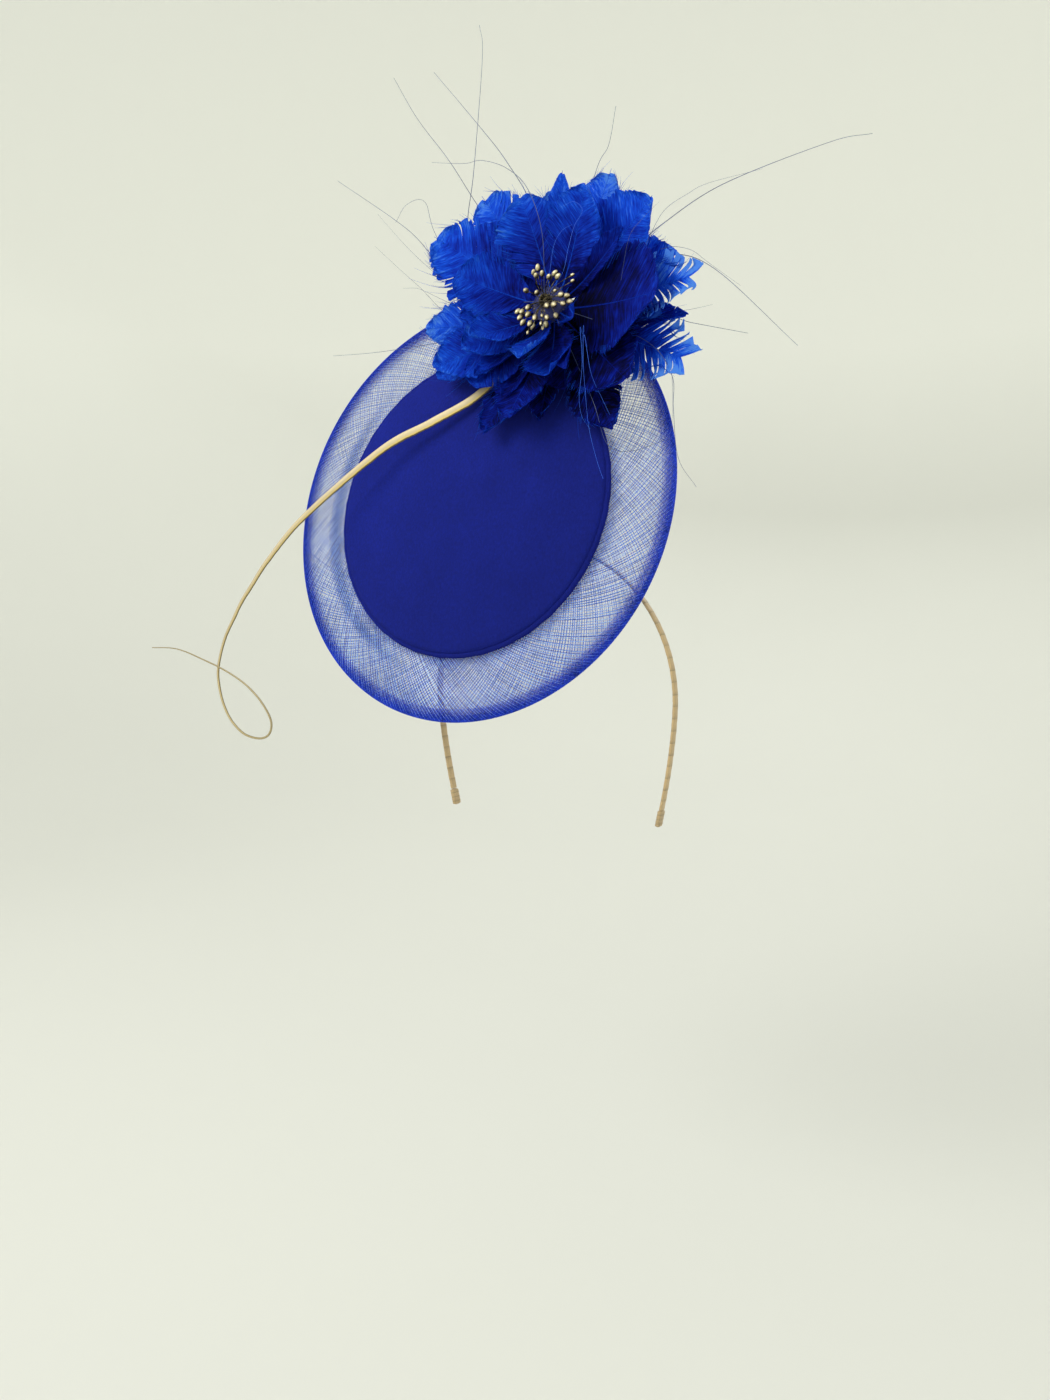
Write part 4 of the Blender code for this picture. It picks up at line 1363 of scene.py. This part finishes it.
def build_stem(context):
    """The bound stem and the felt pad keep their solids and get their finish."""
    thread = felt_finish("bound_thread", (0.004, 0.012, 0.13))
    felt = felt_finish("felt", (0.02, 0.03, 0.12))
    for node, material in (("flower_stem", thread), ("sewing_pad", felt)):
        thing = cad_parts[node]
        for slot in thing.material_slots:
            slot.material = material
    rows = []
    for k in range(STEM_TURNS):
        height = STEM_BOTTOM + 0.35 + k * STEM_PITCH
        rows.append(turn_of_thread(STEM_RADIUS, height, STEM_PITCH, 48))
    binding = tubes("stem_binding", rows, STEM_THREAD * MM, 1)
    finish_piece(binding, "stem_binding", thread, "feather")


def build_quill(context):
    """A split quill: a smooth champagne flat and a rough gilt lower edge."""
    sizes = context.scene.fascinator_sizes
    route = smooth_route(QUILL_ROUTE, QUILL_STEPS)
    chance = random.Random(19)
    rough = [0.0]
    for _ in range(QUILL_STEPS):
        rough.append(rough[-1] * 0.55 + chance.uniform(-1, 1) * 0.6)
    turned = DISC.to_3x3()
    width = sizes.quill_width / MM

    def sides(k):
        ahead = route[min(k + 1, QUILL_STEPS)]
        behind = route[max(k - 1, 0)]
        side = QUILL_FRONT.cross(ahead - behind).normalized()
        front = (ahead - behind).cross(side).normalized()
        return turned @ side * MM, turned @ front * MM

    def section(k, turn):
        share = k / QUILL_STEPS
        half = width * taper(share) / 2
        angle = turn * math.tau
        x = math.cos(angle)
        y = math.sin(angle)
        side = half * math.copysign(abs(x) ** 0.8, x)
        if x > 0.35:
            side += rough[k] * 0.10 * half * x
        return side, min(QUILL_HALF_THICKNESS, half) * math.copysign(abs(y) ** 0.7, y)

    gilt = gilt_finish(context.scene.fascinator_colours.gilt)
    grid = swept([on_disc(*p) for p in route], sides, section, 16)
    finish_piece(grid, "gilt_quill", gilt, "quill_gold", "quill", sharp=60)


def taper(share):
    """The quill's width along its length, as a share of its full width."""
    for (start, wide), (end, slim) in zip(QUILL_TAPER, QUILL_TAPER[1:]):
        if share <= end:
            return wide + (slim - wide) * (share - start) / (end - start)
    return QUILL_TAPER[-1][1]


def strand_route(points, steps, thin=0.35):
    route = smooth_route(points, steps)
    return [(on_disc(*p), 1 - (1 - thin) * k / steps) for k, p in enumerate(route)]


def build_strands(context):
    """Bare feather strands, the longest each its own piece."""
    width = context.scene.fascinator_sizes.strand_width
    dark = strand_finish("bare_strand", DARK_STRAND)
    pale = strand_finish("pale_strand", PALE_STRAND, 0.12)
    for name, azimuth, points in STRANDS:
        start = round_stem(PETAL_ROOT_RADIUS, math.radians(azimuth), STRAND_START_HEIGHT)
        strand = tubes(name + "_fine", [strand_route([start, *points], 70)], width, 1)
        finish_piece(strand, name + "_fine", dark, "strand", name)
    routes = [strand_route(p, 60) for p in FINE_STRANDS]
    routes += [[(q, 0.5 * share) for q, share in strand_route(p, 40)] for p in FAINT_STRANDS]
    some = tubes("short_strands", routes, width * 0.85, 1)
    finish_piece(some, "short_strands", dark, "strand")
    # Painted sheen: the pale strands get a pale blue where the same strands elsewhere are dark.
    light = tubes("pale_strands", [strand_route(p, 60, 0.7) for p in PALE_STRANDS], width * 0.36, 1)
    finish_piece(light, "pale_strands", pale, "strand")


class FASCINATOR_OT_stage(bpy.types.Operator):
    """Set the pale floor, the soft light and the camera"""

    bl_idname = "fascinator.stage"
    bl_label = "Stage"

    def execute(self, context):
        build_stage(context)
        return {"FINISHED"}


class FASCINATOR_OT_base(bpy.types.Operator):
    """Model the crepe-covered base and its rolled edge"""

    bl_idname = "fascinator.base"
    bl_label = "Base"

    def execute(self, context):
        build_base(context)
        return {"FINISHED"}


class FASCINATOR_OT_brim(bpy.types.Operator):
    """Braid the crin brim thread by thread"""

    bl_idname = "fascinator.brim"
    bl_label = "Brim"

    def execute(self, context):
        build_brim(context)
        return {"FINISHED"}


class FASCINATOR_OT_headband(bpy.types.Operator):
    """Wind the headband and its tips with satin"""

    bl_idname = "fascinator.headband"
    bl_label = "Headband"

    def execute(self, context):
        build_headband(context)
        return {"FINISHED"}


class FASCINATOR_OT_petals(bpy.types.Operator):
    """Model the feather petals, small feathers and loose barbs"""

    bl_idname = "fascinator.petals"
    bl_label = "Petals"

    def execute(self, context):
        build_petals(context)
        return {"FINISHED"}


class FASCINATOR_OT_stamens(bpy.types.Operator):
    """Model the pearls and their wires"""

    bl_idname = "fascinator.stamens"
    bl_label = "Stamens"

    def execute(self, context):
        build_stamens(context)
        return {"FINISHED"}


class FASCINATOR_OT_stem(bpy.types.Operator):
    """Bind the flower's stem and finish the sewing pad"""

    bl_idname = "fascinator.stem"
    bl_label = "Stem and pad"

    def execute(self, context):
        build_stem(context)
        return {"FINISHED"}


class FASCINATOR_OT_quill(bpy.types.Operator):
    """Model the gilt quill"""

    bl_idname = "fascinator.quill"
    bl_label = "Quill"

    def execute(self, context):
        build_quill(context)
        return {"FINISHED"}


class FASCINATOR_OT_strands(bpy.types.Operator):
    """Model the bare strands"""

    bl_idname = "fascinator.strands"
    bl_label = "Strands"

    def execute(self, context):
        build_strands(context)
        return {"FINISHED"}


OPERATORS = (
    FASCINATOR_OT_stage, FASCINATOR_OT_base, FASCINATOR_OT_brim, FASCINATOR_OT_headband,
    FASCINATOR_OT_petals, FASCINATOR_OT_stamens, FASCINATOR_OT_stem, FASCINATOR_OT_quill,
    FASCINATOR_OT_strands,
)


class VIEW3D_PT_fascinator(bpy.types.Panel):
    """Sizes, colours and pieces of the fascinator"""

    bl_label = "Fascinator"
    bl_space_type = "VIEW_3D"
    bl_region_type = "UI"
    bl_category = "Fascinator"

    def draw(self, context):
        column = self.layout.column()
        for group in (context.scene.fascinator_sizes, context.scene.fascinator_colours):
            for key in group.__annotations__:
                column.prop(group, key)
        for operator in OPERATORS:
            column.operator(operator.bl_idname)


CLASSES = (FascinatorSizes, FascinatorColours, *OPERATORS, VIEW3D_PT_fascinator)


def register():
    for item in CLASSES:
        bpy.utils.register_class(item)
    bpy.types.Scene.fascinator_sizes = PointerProperty(type=FascinatorSizes)
    bpy.types.Scene.fascinator_colours = PointerProperty(type=FascinatorColours)


def unregister():
    del bpy.types.Scene.fascinator_colours
    del bpy.types.Scene.fascinator_sizes
    for item in reversed(CLASSES):
        bpy.utils.unregister_class(item)


def main():
    register()
    bpy.ops.fascinator.stage()
    bpy.ops.fascinator.base()
    bpy.ops.fascinator.brim()
    bpy.ops.fascinator.headband()
    bpy.ops.fascinator.petals()
    bpy.ops.fascinator.stamens()
    bpy.ops.fascinator.stem()
    bpy.ops.fascinator.quill()
    bpy.ops.fascinator.strands()


if __name__ == "__main__":
    main()
